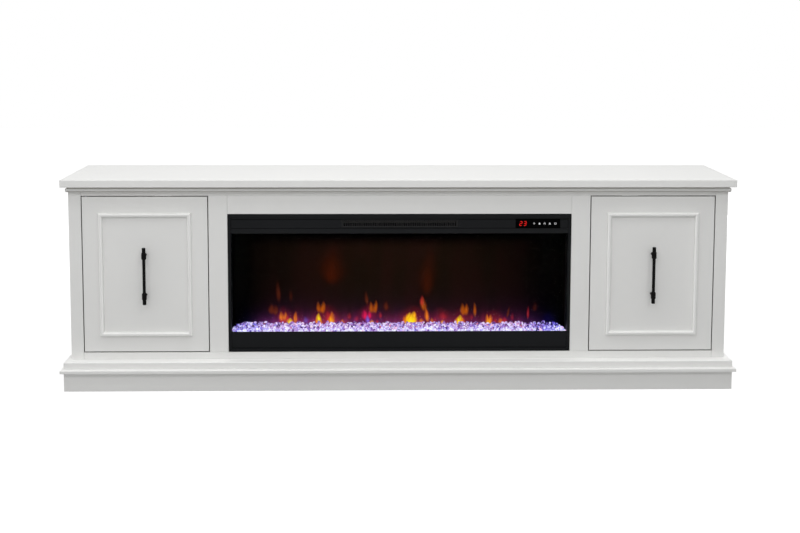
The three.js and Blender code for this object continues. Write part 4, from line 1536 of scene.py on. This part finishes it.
@dataclass
class EmberBed:
    """The heap of cut crystals, in loose rows and layers over the ember shelf."""

    pitch: float = 12.8 * MM
    layers: int = 4
    layer_rise: float = 8.4 * MM
    radius: float = 8.2 * MM
    sizes: Pair = (0.72, 1.2)
    squash: Pair = (0.72, 1.0)
    scatter: Pair = (0.15, 0.85)
    heave_mm: Pair = (-2.0, 2.0)
    seat: float = 0.75
    heap_waves: Triple = (0.37, 0.113, 1.3)
    end_slopes: tuple[Pair, Pair] = ((1.4, 1.2), (1.0, 0.8))
    fullness: Triple = (0.3, 0.35, 0.6)
    sink_mm: float = 1.2
    sink_start: float = -0.25
    sink_run: float = 0.1
    wave_mm: float = 1.6
    roof_waves: Pair = (140.0, 53.0)
    dip_mm: Pair = (-1.5, 3.5)
    seed: int = 7
    top: float = 202.5 * MM
    sides: int = 6
    table: float = 0.58
    table_height: float = 0.55
    girdle_height: float = 0.1
    point_height: float = -0.95
    whole_share: float = 0.45
    own_share: float = 0.55
    contrast: float = 1.3
    darker: float = 0.17
    roof_shade: float = 0.22
    foot_light: float = 0.42
    foot_power: float = 1.5
    end_start: float = 0.4
    end_fade: float = 0.1
    left_share: float = 0.65
    end_shades: Triple = (0.22, 0.8, 1.2)
    end_light: float = 0.3
    blue_share: float = 0.6
    blue_odds: float = 0.24
    rosy_from: float = 0.93
    warm_from: float = 0.985
    top_loss: Triple = (0.0, 0.28, 0.35)
    stops: tuple[float, ...] = (0.0, 0.22, 0.5, 0.78, 1.0)
    usual: tuple[Triple, ...] = (
        (0.07, 0.02, 0.13),
        (0.26, 0.12, 0.42),
        (0.5, 0.39, 0.74),
        (0.73, 0.71, 0.88),
        (0.9, 0.98, 0.99),
    )
    outer: tuple[Triple, ...] = (
        (0.002, 0.002, 0.03),
        (0.018, 0.012, 0.24),
        (0.15, 0.13, 0.66),
        (0.46, 0.45, 0.88),
        (0.8, 0.82, 0.97),
    )
    rosy: Triple = (0.95, 0.6, 0.75)
    warm: Triple = (1.2, 0.55, 0.4)
    warm_height: float = 20.0 * MM

    def stone(self) -> tuple[Array, Array, Array]:
        """One cut stone: a flat table, a ring of crown facets, and as many below that meet in a point.

        Returns:
            Its points, its triangles, and the number of the facet that each triangle belongs to.
        """
        n = self.sides
        turn = np.arange(n) * 2 * math.pi / n
        ring = np.stack([np.cos(turn), np.sin(turn), np.zeros(n)], -1)
        upper = ring * self.table + (0, 0, self.table_height)
        lower = ring + (0, 0, self.girdle_height)
        points = np.concatenate([upper, lower, [(0, 0, self.point_height)]])
        here, after = np.arange(n), (np.arange(n) + 1) % n
        triangles = (
            (n + here, n + after, after),
            (n + here, after, here),
            (n + after, n + here, np.full(n, 2 * n)),
            (np.zeros(n - 2, int), here[1:-1], here[2:]),
        )
        facet = np.concatenate([here, here, n + here, np.full(n - 2, 2 * n)])
        return points, np.concatenate([np.stack(three, -1) for three in triangles]), facet

    def places(self, chance: np.random.Generator, columns: int, rows: int) -> Array:
        """The column, row and layer of every stone.

        The heap's height swells and sinks along it by two crossed waves, slopes off at both ends and is a
        little lower on the right. The top layer is broken by chance.

        Args:
            chance: the random draws.
            columns: how many stones lie along the bed.
            rows: how many lie across it.

        Returns:
            Column, row and layer, (count, 3).
        """
        place = np.indices((columns, rows, self.layers)).reshape(3, -1).T.astype(float)
        column = place[:, 0]
        quick, slow, phase = self.heap_waves
        swell = 0.5 + 0.5 * np.sin(column * quick) * np.sin(column * slow + phase)
        left, right = self.end_slopes
        slope = np.minimum(left[0] + left[1] * column, right[0] + right[1] * (columns - 1 - column))
        usual, fall, rise = self.fullness
        fuller = chance.random(len(place)) < usual - fall * column / columns + rise * swell
        return place[place[:, 2] < np.minimum(self.layers - 1 + fuller, slope)]

    def roof(self, chance: np.random.Generator, x: Array, high: Array) -> Array:
        """The highest corner that each stone may reach: uneven, in waves, and lower except at the left.

        Args:
            chance: the random draws.
            x: where each stone lies along the bed.
            high: the highest corner of the bed.

        Returns:
            A corner for each stone, (count, 3).
        """
        sunk = self.sink_mm * np.clip((x - self.sink_start) / self.sink_run, 0, 1)
        quick, slow = self.roof_waves
        wave = self.wave_mm * (1 + np.sin(quick * x + 1) * np.sin(slow * x))
        roof = np.tile(np.append(high[:2], self.top), (len(x), 1))
        roof[:, 2] -= (sunk + wave + chance.uniform(*self.dip_mm, len(x))) * MM
        return roof

    def build(self) -> None:
        """Scatters the stones, turns and squashes each its own way, and gives every facet its colour, a glow
        with painted light and shade in it.
        """
        low, high = box("ember_bed")
        chance = np.random.default_rng(self.seed)
        size = high - low
        columns, rows = int(size[0] / self.pitch), int(size[1] / self.pitch)
        place = self.places(chance, columns, rows)
        count = len(place)
        radius = self.radius * chance.uniform(*self.sizes, count)
        spread = (size[0] / columns, size[1] / rows, self.layer_rise)
        centre = low + (place + chance.uniform(*self.scatter, (count, 3))) * spread
        heave = chance.uniform(*self.heave_mm, count) * MM
        centre[:, 2] = low[2] + radius * self.seat + place[:, 2] * self.layer_rise + heave
        roof = self.roof(chance, centre[:, 0], high)
        centre = np.clip(centre, low + radius[:, None], roof - radius[:, None])
        points, faces, facet = self.stone()
        shapes = points[None] * chance.uniform(*self.squash, (count, 1, 3)) * radius[:, None, None]
        turns = np.linalg.qr(chance.normal(size=(count, 3, 3)))[0]
        turns *= np.sign(np.linalg.det(turns))[:, None, None]
        shapes = np.clip(np.einsum("nij,nkj->nki", turns, shapes) + centre[:, None], low, roof[:, None])
        every = (faces[None] + np.arange(count)[:, None, None] * len(points)).reshape(-1, 3)
        corners = shapes.reshape(-1, 3)[every]
        facing = unit(np.cross(corners[:, 1] - corners[:, 0], corners[:, 2] - corners[:, 0]))
        whole = np.repeat(chance.random(count), len(faces))
        own, spark = (chance.random((count, facet.max() + 1))[:, facet].reshape(-1) for _ in range(2))
        unlit = np.repeat(chance.random(count) < 0.5, len(faces))
        chosen = self.whole_share * whole + self.own_share * own
        colours = self.facets(chosen, spark, unlit, corners.mean(axis=1), facing, low)
        painted = np.repeat(colours[:, None], 3, axis=1)
        mesh = loose_mesh("ember_crystals", shapes.reshape(-1, 3), every, painted)
        add_piece(mesh, CRYSTAL, CABINET, ("ember_bed",))

    def facets(
        self, chosen: Array, spark: Array, unlit: Array, middle: Array, facing: Array, low: Array
    ) -> Array:
        """The colour of each facet.

        Args:
            chosen: a number from 0 to 1 for each facet, which decides how light it is.
            spark: another, which decides whether it catches the flames.
            unlit: whether its stone is darker if it lies near an end.
            middle: the middle of each triangle.
            facing: its normal.
            low: the lowest corner of the whole bed.

        Returns:
            Red, green, blue and one for each triangle: a glow from white to deep violet, with painted light
            that makes it whiter low down, painted shade on upward facets high up, bluer and stronger in
            contrast at the ends, and painted glints of the flames on a few facets.
        """
        depth = np.clip((middle[:, 2] - low[2]) / (self.top - low[2]), 0, 1)
        # Painted shade on upward facets high up, and painted light from below on the facets low down.
        shade = self.roof_shade * facing[:, 2] * depth
        lift = self.foot_light * (1 - depth) ** self.foot_power
        tone = np.clip(self.contrast * chosen - self.darker - shade + lift, 0, 1)
        # Near the ends: painted shade high up, painted light low down, and darker unlit stones.
        ends = np.clip((np.abs(middle[:, 0]) - self.end_start) / self.end_fade, 0, 1)
        ends *= np.where(middle[:, 0] > 0, 1.0, self.left_share)
        usual_shade, unlit_shade, most = self.end_shades
        end_shade = depth * (usual_shade + unlit_shade * unlit * (most - chosen)) - self.end_light
        tone = np.clip(tone - ends * end_shade, 0, 1)
        # Bluer at the ends, as painted blue light, and on a few facets at random.
        blue = np.clip(ends + self.blue_share * (spark < self.blue_odds), 0, 1)[:, None]
        usual, outer = (
            np.stack([np.interp(tone, self.stops, channel) for channel in zip(*tones)], -1)
            for tones in (self.usual, self.outer)
        )
        colour = usual * (1 - blue) + outer * blue
        # Painted light: higher up, the glow from below loses green and blue.
        colour = colour * (1 - (depth**3)[:, None] * (1 - blue) * self.top_loss)
        high_up = middle[:, 2:] > low[2] + self.warm_height
        # Painted glints: a few facets rosy, and a few high ones warm with the flames' light.
        colour = np.where(spark[:, None] > self.rosy_from, colour * self.rosy, colour)
        colour = np.where((spark[:, None] > self.warm_from) & high_up, colour * self.warm, colour)
        return np.concatenate([colour, np.ones((len(colour), 1))], axis=-1)


@dataclass
class Flames:
    """The tongues of light on the flame screen, each a fine sheet just in front of it."""

    stand_off: float = 0.6 * MM
    spacing: float = 0.02 * MM
    spread: float = 2.1
    density: float = 2.5
    wobble: float = 0.09
    tip: float = 0.04
    foot: float = 0.5
    head: float = 0.7
    rows: int = 26
    columns: int = 15

    def build(self) -> None:
        """Lays every tongue out as a grid (u across, v up).

        The middle line leans, bows and wavers. The half width is the tongue's own times |sin(pi v^0.8)|^0.8
        and a little more, which is widest below the middle and nearly ends in a point. The light falls off
        across as exp(-2.2 u^2) (1 - u^2). It rises smoothly over the foot, the lower half, and falls evenly
        over the head. The sheet covers what is behind it by 1 - exp(-density light), and is hotter low down
        and at its heart.
        """
        front = box("flame_screen")[0][1] - self.stand_off
        u, v = np.meshgrid(np.linspace(-1, 1, self.columns), np.linspace(0, 1, self.rows))
        cell = cells(self.rows, self.columns)
        wide = np.abs(np.sin(math.pi * v**0.8)) ** 0.8 + self.tip
        core = np.exp(-2.2 * u**2) * (1 - u**2)
        foot, head = np.clip(v / self.foot, 0, 1), np.clip((1 - v) / self.head, 0, 1)
        light = core * foot**2 * (3 - 2 * foot) * head
        heat = (core**0.7 * np.clip(1.35 - v, 0, 1))[..., None]
        points, faces, colours = [], [], []
        for order, tongue in enumerate(TONGUES):
            sway = self.wobble * tongue.width * np.sin(math.pi * (2.6 * v + 0.37 * order)) * v
            line = tongue.x + tongue.lean * (v - 0.4) + tongue.bow * np.sin(math.pi * v * 1.5) + sway
            x = (line + self.spread * tongue.width / 2 * wide * u) * MM
            z = (tongue.low + (tongue.high - tongue.low) * v) * MM
            y = np.full(x.shape, front - order * self.spacing)
            edge, heart = (np.array(colour) for colour in tongue.hue.value)
            alpha = 1 - np.exp(-self.density * light * tongue.glow)[..., None]
            points.append(np.stack([x, y, z], -1).reshape(-1, 3))
            faces.append(cell + order * u.size)
            colours.append(np.concatenate([edge * (1 - heat) + heart * heat, alpha], -1).reshape(-1, 4)[cell])
        mesh = loose_mesh("flame_tongues", *(np.concatenate(parts) for parts in (points, faces, colours)))
        add_piece(mesh, FLAME, CABINET)


BARS = {
    "top": ((0, 2), (1, 2)),
    "upper_left": ((0, 1), (0, 2)),
    "upper_right": ((1, 1), (1, 2)),
    "middle": ((0, 1), (1, 1)),
    "lower_left": ((0, 0), (0, 1)),
    "lower_right": ((1, 0), (1, 1)),
    "bottom": ((0, 0), (1, 0)),
}
DIGIT_BARS = (
    ("top", "upper_right", "middle", "lower_left", "bottom"),
    ("top", "upper_right", "middle", "lower_right", "bottom"),
)


@dataclass
class Display:
    """The window over the display, with the lit digits two and three and five small marks in a row."""

    window_easing: float = 0.6 * MM
    digit_height: float = 15.0 * MM
    digit_width: float = 9.0 * MM
    bar: float = 2.1 * MM
    bar_gap: float = 0.3 * MM
    slant: float = 0.12
    proud: float = 0.12 * MM
    digit_places: Pair = (382.0 * MM, 395.0 * MM)
    mark_places: tuple[float, ...] = (424 * MM, 441 * MM, 457 * MM, 473.5 * MM, 491 * MM)
    mark_size: float = 7.4 * MM

    def build(self) -> None:
        """Makes the window, the digits and the marks."""
        eased_board("display_window", self.window_easing, WINDOW, "display_glass")
        low, high = box("display_window")
        middle = (low[2] + high[2]) / 2
        face = low[1] - self.proud
        bars = [
            self.segment(place, middle, *BARS[name])
            for place, names in zip(self.digit_places, DIGIT_BARS)
            for name in names
        ]
        self.plate("display_digits", bars, face, low[1], DIGIT)
        shapes = (self.sun(), self.drop(), self.fan(), self.wedge(), self.ring())
        marks = [
            np.array([(place, middle)]) + np.array(shape) * self.mark_size / 2
            for place, group in zip(self.mark_places, shapes)
            for shape in group
        ]
        self.plate("display_marks", marks, face, low[1], ICON)

    def segment(self, place: float, middle: float, start: Pair, end: Pair) -> Array:
        """A bar with pointed ends between two corners of the digit, leaning as the digit does.

        Args:
            place: the middle of the digit, along x.
            middle: its middle, along z.
            start: one end, as the column and row of a corner of the digit.
            end: the other end.

        Returns:
            The six corners of the bar, (x, z).
        """
        half = self.bar / 2
        cell = (self.digit_width - self.bar, (self.digit_height - self.bar) / 2)
        ends = np.array([start, end], dtype=float) * cell
        way = unit(ends[1] - ends[0])
        side = np.array([-way[1], way[0]])
        first, last = ends[0] + way * self.bar_gap, ends[1] - way * self.bar_gap
        loop = [first, first + (way - side) * half, last - (way + side) * half]
        loop += [last, last - (way - side) * half, first + (way + side) * half]
        points = np.array(loop) + (-self.digit_width / 2 + half, -self.digit_height / 2 + half)
        points[:, 0] += points[:, 1] * self.slant
        return points + (place, middle)

    def plate(self, name: str, loops: list[Array], front: float, back: float, finish: Finish) -> None:
        """Thin plates with flat convex outlines (x, z), from the back plane to the front, as one piece.

        Args:
            name: the piece's name.
            loops: the outlines.
            front: where the front plane is along y.
            back: where the back plane is.
            finish: what they are finished with.
        """
        patches = []
        for loop in loops:
            ring = np.concatenate([loop, loop[:1]])
            near, far = (np.insert(ring, 1, y, axis=1) for y in (front, back))
            for line, facing in ((near, FORWARD), (far, -FORWARD)):
                hub = np.broadcast_to(line[:-1].mean(axis=0), line.shape)
                patches.append(flat_patch([line, hub], facing))
            outwards = unit(near - near[:-1].mean(axis=0))
            patches.append(ribbon(near, far, outwards, np.zeros(len(ring))))
        add_piece(welded_mesh(name, patches), finish, CABINET)

    def sun(self) -> list[Array]:
        """A dot with four short rays.

        Returns:
            Its convex outlines, from -1 to 1 each way.
        """
        turn = np.linspace(0, 2 * math.pi, 16, endpoint=False)
        ray = np.array([(0.55, -0.12), (1.0, -0.12), (1.0, 0.12), (0.55, 0.12)])
        turns = [np.array([(c, s), (-s, c)]) for c, s in ((1, 0), (0, 1), (-1, 0), (0, -1))]
        return [0.4 * np.stack([np.cos(turn), np.sin(turn)], -1), *(ray @ turned_by for turned_by in turns)]

    def drop(self) -> list[Array]:
        """A drop, round below and pointed above.

        Returns:
            Its convex outlines, from -1 to 1 each way.
        """
        turn = np.linspace(math.radians(150), math.radians(390), 12)
        belly = np.stack([0.75 * np.cos(turn), 0.7 * np.sin(turn) - 0.3], -1)
        return [np.concatenate([belly, [(0.0, 1.0)]])]

    def fan(self) -> list[Array]:
        """Three blades round a middle.

        Returns:
            Its convex outlines, from -1 to 1 each way.
        """
        blade = np.array([(0.1, -0.1), (0.85, -0.45), (1.0, 0.2), (0.3, 0.25)])
        turns = [math.radians(angle) for angle in (90, 210, 330)]
        return [blade @ np.array([(math.cos(t), math.sin(t)), (-math.sin(t), math.cos(t))]) for t in turns]

    def wedge(self) -> list[Array]:
        """A wedge that points up, with a bar under it."""
        bar = np.array([(-0.8, -0.9), (0.9, -0.9), (0.9, -0.65), (-0.8, -0.65)])
        return [np.array([(-0.8, -0.4), (0.95, -0.4), (-0.1, 0.9)]), bar]

    def ring(self) -> list[Array]:
        """A ring of short arcs, open at the top, with a stem in the gap.

        Returns:
            Its convex outlines, from -1 to 1 each way.
        """
        turn = np.linspace(math.radians(125), math.radians(415), 13)
        outer = np.stack([np.cos(turn), np.sin(turn)], -1)
        arcs = [np.array([a, b, b * 0.7, a * 0.7]) for a, b in zip(outer[:-1], outer[1:])]
        return [*arcs, np.array([(-0.13, 0.1), (0.13, 0.1), (0.13, 1.0), (-0.13, 1.0)])]


@dataclass
class Bezel:
    """The black surround: a raised lip, a channelled band over the glass and a plain one under it."""

    lip: float = 9.0 * MM
    lip_rebate: float = 3.2 * MM
    rebate_depth: float = 4.5 * MM
    step: float = 2.2 * MM
    top_band: float = 53.0 * MM
    channel_low: float = 15.0 * MM
    channel_height: float = 32.0 * MM
    channel_depth: float = 2.3 * MM
    quirk_height: float = 2.2 * MM
    quirk_depth: float = 2.4 * MM
    head_height: float = 3.8 * MM
    head_depth: float = 3.1 * MM
    bar_slope: float = 1.2 * MM
    foot_slope: float = 2.6 * MM
    groove_height: float = 4.5 * MM
    groove_depth: float = 4.0 * MM
    low_band: float = 54.5 * MM
    grille_rim: float = 3.0 * MM
    window_rim: float = 0.5 * MM
    easing: float = 0.7 * MM
    inner_easing: float = 0.4 * MM

    def build(self) -> None:
        """Makes the whole surround as one piece."""
        low, high = box("fire_bezel")
        left, right = low[0] + self.lip, high[0] - self.lip
        bottom, top = low[2] + self.lip, high[2] - self.lip
        deep = high[1] - low[1]
        edge, ledge, face = self.lip - self.lip_rebate, deep - self.rebate_depth, deep - self.step
        corners = [(0, 0, 0), (self.lip, 0, 0), (self.lip, ledge, self.inner_easing), (edge, ledge, 0)]
        lip = rounded_outline([*corners, (edge, deep, self.easing), (0, deep, self.easing)])
        patches = framed(lip, low, high, self.lip)
        patches += self.band(self.lower_section(face, bottom), left, right, high[1])
        base = top - self.top_band
        start = left
        for node, rim in (("heater_grille", self.grille_rim), ("display_window", self.window_rim)):
            near, far = box(node)
            near_x, far_x = near[0] - SEAM, far[0] + SEAM
            patches += self.band(self.upper_section(face, base, top), start, near_x, high[1])
            for section in self.split_sections(face, base, top, rim):
                patches += self.band(section, near_x, far_x, high[1])
            start = far_x
        patches += self.band(self.upper_section(face, base, top), start, right, high[1])
        add_piece(welded_mesh("bezel_surround", patches), POWDER, CABINET, ("fire_bezel",))

    def band(self, section: Outline, start: float, end: float, back: float) -> list[Patch]:
        """A section, (out from the back, height), carried straight across from start to end."""
        ends = np.array([(start, back, 0.0), (end, back, 0.0)])
        return swept(flat_backed(section), ends, UP, closed=False)

    def lower_section(self, face: float, bottom: float) -> Outline:
        """The plain band under the glass, which leans out towards its top, with the groove over the lip.

        Args:
            face: how far the band's face stands out from the back.
            bottom: the height of its lower edge.

        Returns:
            The section.
        """
        floor, groove, top = face - self.groove_depth, bottom + self.groove_height, bottom + self.low_band
        foot, inner = face - self.foot_slope, self.inner_easing
        corners = [(0, bottom, 0), (floor, bottom, 0), (floor, groove, 0), (foot, groove, inner)]
        return rounded_outline([*corners, (face, top, inner), (0, top, 0)])

    def below_channel(self, face: float, base: float) -> list[Triple]:
        """The corners from the band's lower back edge to the channel's floor, past the quirk at its foot.

        Args:
            face: how far the band's face stands out from the back.
            base: the height of its lower edge.

        Returns:
            The distance out, the height and the radius of each corner.
        """
        floor, channel = face - self.channel_depth, base + self.channel_low
        quirk, edge = floor - self.quirk_depth, face - self.bar_slope
        corners = [(0, base, 0), (face, base, self.easing), (edge, channel, self.inner_easing)]
        corners += [(quirk, channel, 0), (quirk, channel + self.quirk_height, 0)]
        return [*corners, (floor, channel + self.quirk_height, 0)]

    def above_channel(self, face: float, base: float, top: float) -> list[Triple]:
        """The corners from the channel's floor, past the quirk at its head, to the band's upper edge.

        Args:
            face: how far the band's face stands out from the back.
            base: the height of its lower edge.
            top: the height of its upper edge.

        Returns:
            The distance out, the height and the radius of each corner.
        """
        floor, roof = face - self.channel_depth, base + self.channel_low + self.channel_height
        quirk = floor - self.head_depth
        corners = [(floor, roof - self.head_height, 0), (quirk, roof - self.head_height, 0), (quirk, roof, 0)]
        return [*corners, (face, roof, self.inner_easing), (face, top, 0), (0, top, 0)]

    def upper_section(self, face: float, base: float, top: float) -> Outline:
        """The band over the glass, with its channel."""
        return rounded_outline(self.below_channel(face, base) + self.above_channel(face, base, top))

    def split_sections(self, face: float, base: float, top: float, rim: float) -> list[Outline]:
        """The parts of that band below and above an opening, which reaches to the rim inside the channel.

        Args:
            face: how far the band's face stands out from the back.
            base: the height of its lower edge.
            top: the height of its upper edge.
            rim: how far over the channel's foot the opening starts.

        Returns:
            The lower part and the upper part.
        """
        floor, channel = face - self.channel_depth, base + self.channel_low
        roof = channel + self.channel_height
        below, above = self.below_channel(face, base), self.above_channel(face, base, top)
        if rim > self.quirk_height:
            below = [*below, (floor, channel + rim, 0), (0, channel + rim, 0)]
            above = [(0, roof - self.head_height, 0), *above[1:]]
        else:
            below, above = [*below[:3], (0, channel, 0)], [(0, roof, 0), *above[-3:]]
        return [rounded_outline(below), rounded_outline(above)]


@dataclass
class Grille:
    """The heater's outlet: a thin plate with a row of upright slots."""

    rim: float = 3.0 * MM
    slot_height: float = 17.0 * MM
    slot_pitch: float = 7.0 * MM
    slot_width: float = 4.0 * MM
    slots: int = 51
    easing: float = 0.5 * MM

    def build(self) -> None:
        """Makes the plate round the slots, and a bar beside each slot."""
        low, high = box("heater_grille")
        slot_high = high[2] - self.rim
        slot_low = slot_high - self.slot_height
        patches = rounded_box(low, (high[0], high[1], slot_low), self.easing)
        patches += rounded_box((low[0], low[1], slot_high), high, self.easing)
        first = (low[0] + high[0]) / 2 - (self.slots - 1) / 2 * self.slot_pitch
        edges = first + (np.arange(self.slots + 1) - 0.5) * self.slot_pitch
        half = (self.slot_pitch - self.slot_width) / 2
        spans = [(low[0], edges[0] + half), *((edge - half, edge + half) for edge in edges[1:-1])]
        for start, end in (*spans, (edges[-1] - half, high[0])):
            near, far = (start, low[1], slot_low - self.easing), (end, high[1], slot_high + self.easing)
            patches += rounded_box(near, far, self.easing, 2)
        add_piece(welded_mesh("outlet_grille", patches), PLASTIC, CABINET, ("heater_grille",))


@dataclass
class Fireplace:
    """The insert: its surround, glass, screen and works."""

    polish: float = 0.6 * MM

    def build(self) -> None:
        """Makes the pieces that show, then the embers, the flames and the display."""
        Bezel().build()
        Grille().build()
        for node, finish in (("fire_glass", PANE), ("flame_screen", SCREEN)):
            eased_board(node, self.polish, finish, f"{node}_pane")
        EmberBed().build()
        Flames().build()
        Display().build()


def dress_nodes() -> None:
    """Gives every node of the model that still shows the finish of its slot."""
    slots = {part["node"]: part["material_slot"] for part in frame["record"]["subparts"]}
    for name, shown in frame["nodes"].items():
        finish = DARK_STEEL if name in HOT else BY_SLOT[slots[name]]
        shown.data.materials.clear()
        shown.data.materials.append(finish.material())
        log.info("%s keeps its shape, in %s", name, finish.name)


# The studio


@dataclass(frozen=True)
class Softbox:
    """A large soft lamp: where it hangs, the point that it faces, its width and height, and its watts."""

    name: str
    place: Triple
    target: Triple
    size: Pair
    power: float

    def hang(self) -> None:
        """Makes the lamp."""
        lamp = bpy.data.lights.new(self.name, "AREA")
        lamp.shape = "RECTANGLE"
        lamp.size, lamp.size_y = self.size
        lamp.energy = self.power
        made = bpy.data.objects.new(self.name, lamp)
        bpy.context.collection.objects.link(made)
        made.location = self.place
        made.rotation_euler = (Vector(self.target) - Vector(self.place)).to_track_quat("-Z", "Y").to_euler()


SOFTBOXES = (
    Softbox("overhead", (0.0, -0.5, 3.1), (0.0, 0.0, 0.3), (4.2, 2.6), 60.9),
    Softbox("over_front", (0.0, -3.4, 3.0), (0.0, 0.0, 0.4), (4.6, 1.0), 41.7),
    Softbox("front", (-0.3, -5.6, 1.9), (0.0, 0.0, 0.3), (5.0, 2.4), 44.7),
    Softbox("left", (-4.2, -2.6, 2.4), (0.0, 0.0, 0.3), (2.6, 2.6), 18.8),
    Softbox("right_side", (3.4, 0.9, 0.4), (1.0, 0.0, 0.35), (2.0, 0.5), 18.0),
    Softbox("left_side", (-3.4, 0.9, 0.4), (-1.0, 0.0, 0.35), (2.0, 0.5), 14.0),
    Softbox("low_back", (0.8, 3.6, 0.33), (0.0, 0.0, 0.33), (3.6, 0.6), 26.0),
)


@dataclass
class Studio:
    """The floor, the lights and the camera."""

    floor_half: float = 9.0
    world_strength: float = 0.2
    camera_place: Triple = (-0.0929, -4.1165, 1.1832)
    yaw: float = 1.335
    pitch: float = 5.758
    roll: float = 0.157
    lens: float = 57.302
    shift: float = -0.155
    clip: Pair = (0.1, 60.0)

    def build(self) -> None:
        """Makes the whole studio."""
        bpy.context.scene.view_settings.view_transform = "Standard"
        self.lay_floor()
        self.light_world()
        for softbox in SOFTBOXES:
            softbox.hang()
        self.set_camera()

    def lay_floor(self) -> None:
        """A wide pale floor that looks white to the camera and still takes the stand's shadow."""
        half = self.floor_half
        corners = [(-half, -half, 0), (half, -half, 0), (half, half, 0), (-half, half, 0)]
        mesh = bpy.data.meshes.new(FLOOR.name)
        mesh.from_pydata(corners, [], [(0, 1, 2, 3)])
        mesh.materials.append(FLOOR.material())
        made = bpy.data.objects.new(FLOOR.name, mesh)
        bpy.context.collection.objects.link(made)

    def light_world(self) -> None:
        """An even white world: plain light on the stand, and full white where it is seen."""
        world = bpy.data.worlds.new("studio_world")
        world.use_nodes = True
        bpy.context.scene.world = world
        graph = Graph(world.node_tree)
        lift = graph.times(graph.seen(), 1.0 - self.world_strength)
        strength = graph.math("ADD", lift, self.world_strength)
        graph.feed(world.node_tree.nodes["Background"], {"Color": (1.0, 1.0, 1.0, 1.0), "Strength": strength})

    def set_camera(self) -> None:
        """The camera: a little left of the middle and well above the top, looking slightly down."""
        data = bpy.data.cameras.new("camera")
        data.lens = self.lens
        data.shift_y = self.shift
        data.clip_start, data.clip_end = self.clip
        made = bpy.data.objects.new("camera", data)
        bpy.context.collection.objects.link(made)
        turn = Matrix.Rotation(math.radians(-self.yaw), 4, "Z")
        tilt = Matrix.Rotation(math.radians(90 - self.pitch), 4, "X")
        bank = Matrix.Rotation(math.radians(self.roll), 4, "Z")
        made.matrix_world = Matrix.Translation(self.camera_place) @ turn @ tilt @ bank
        bpy.context.scene.camera = made


def main() -> None:
    """Builds the stand and the studio."""
    logging.basicConfig(level=logging.INFO, format="%(message)s")
    dress_nodes()
    Cabinet().build()
    FaceFrame().build()
    for side in Side:
        Door(side).build()
    Fireplace().build()
    Studio().build()
    bpy.context.view_layer.update()


if __name__ == "__main__":
    main()
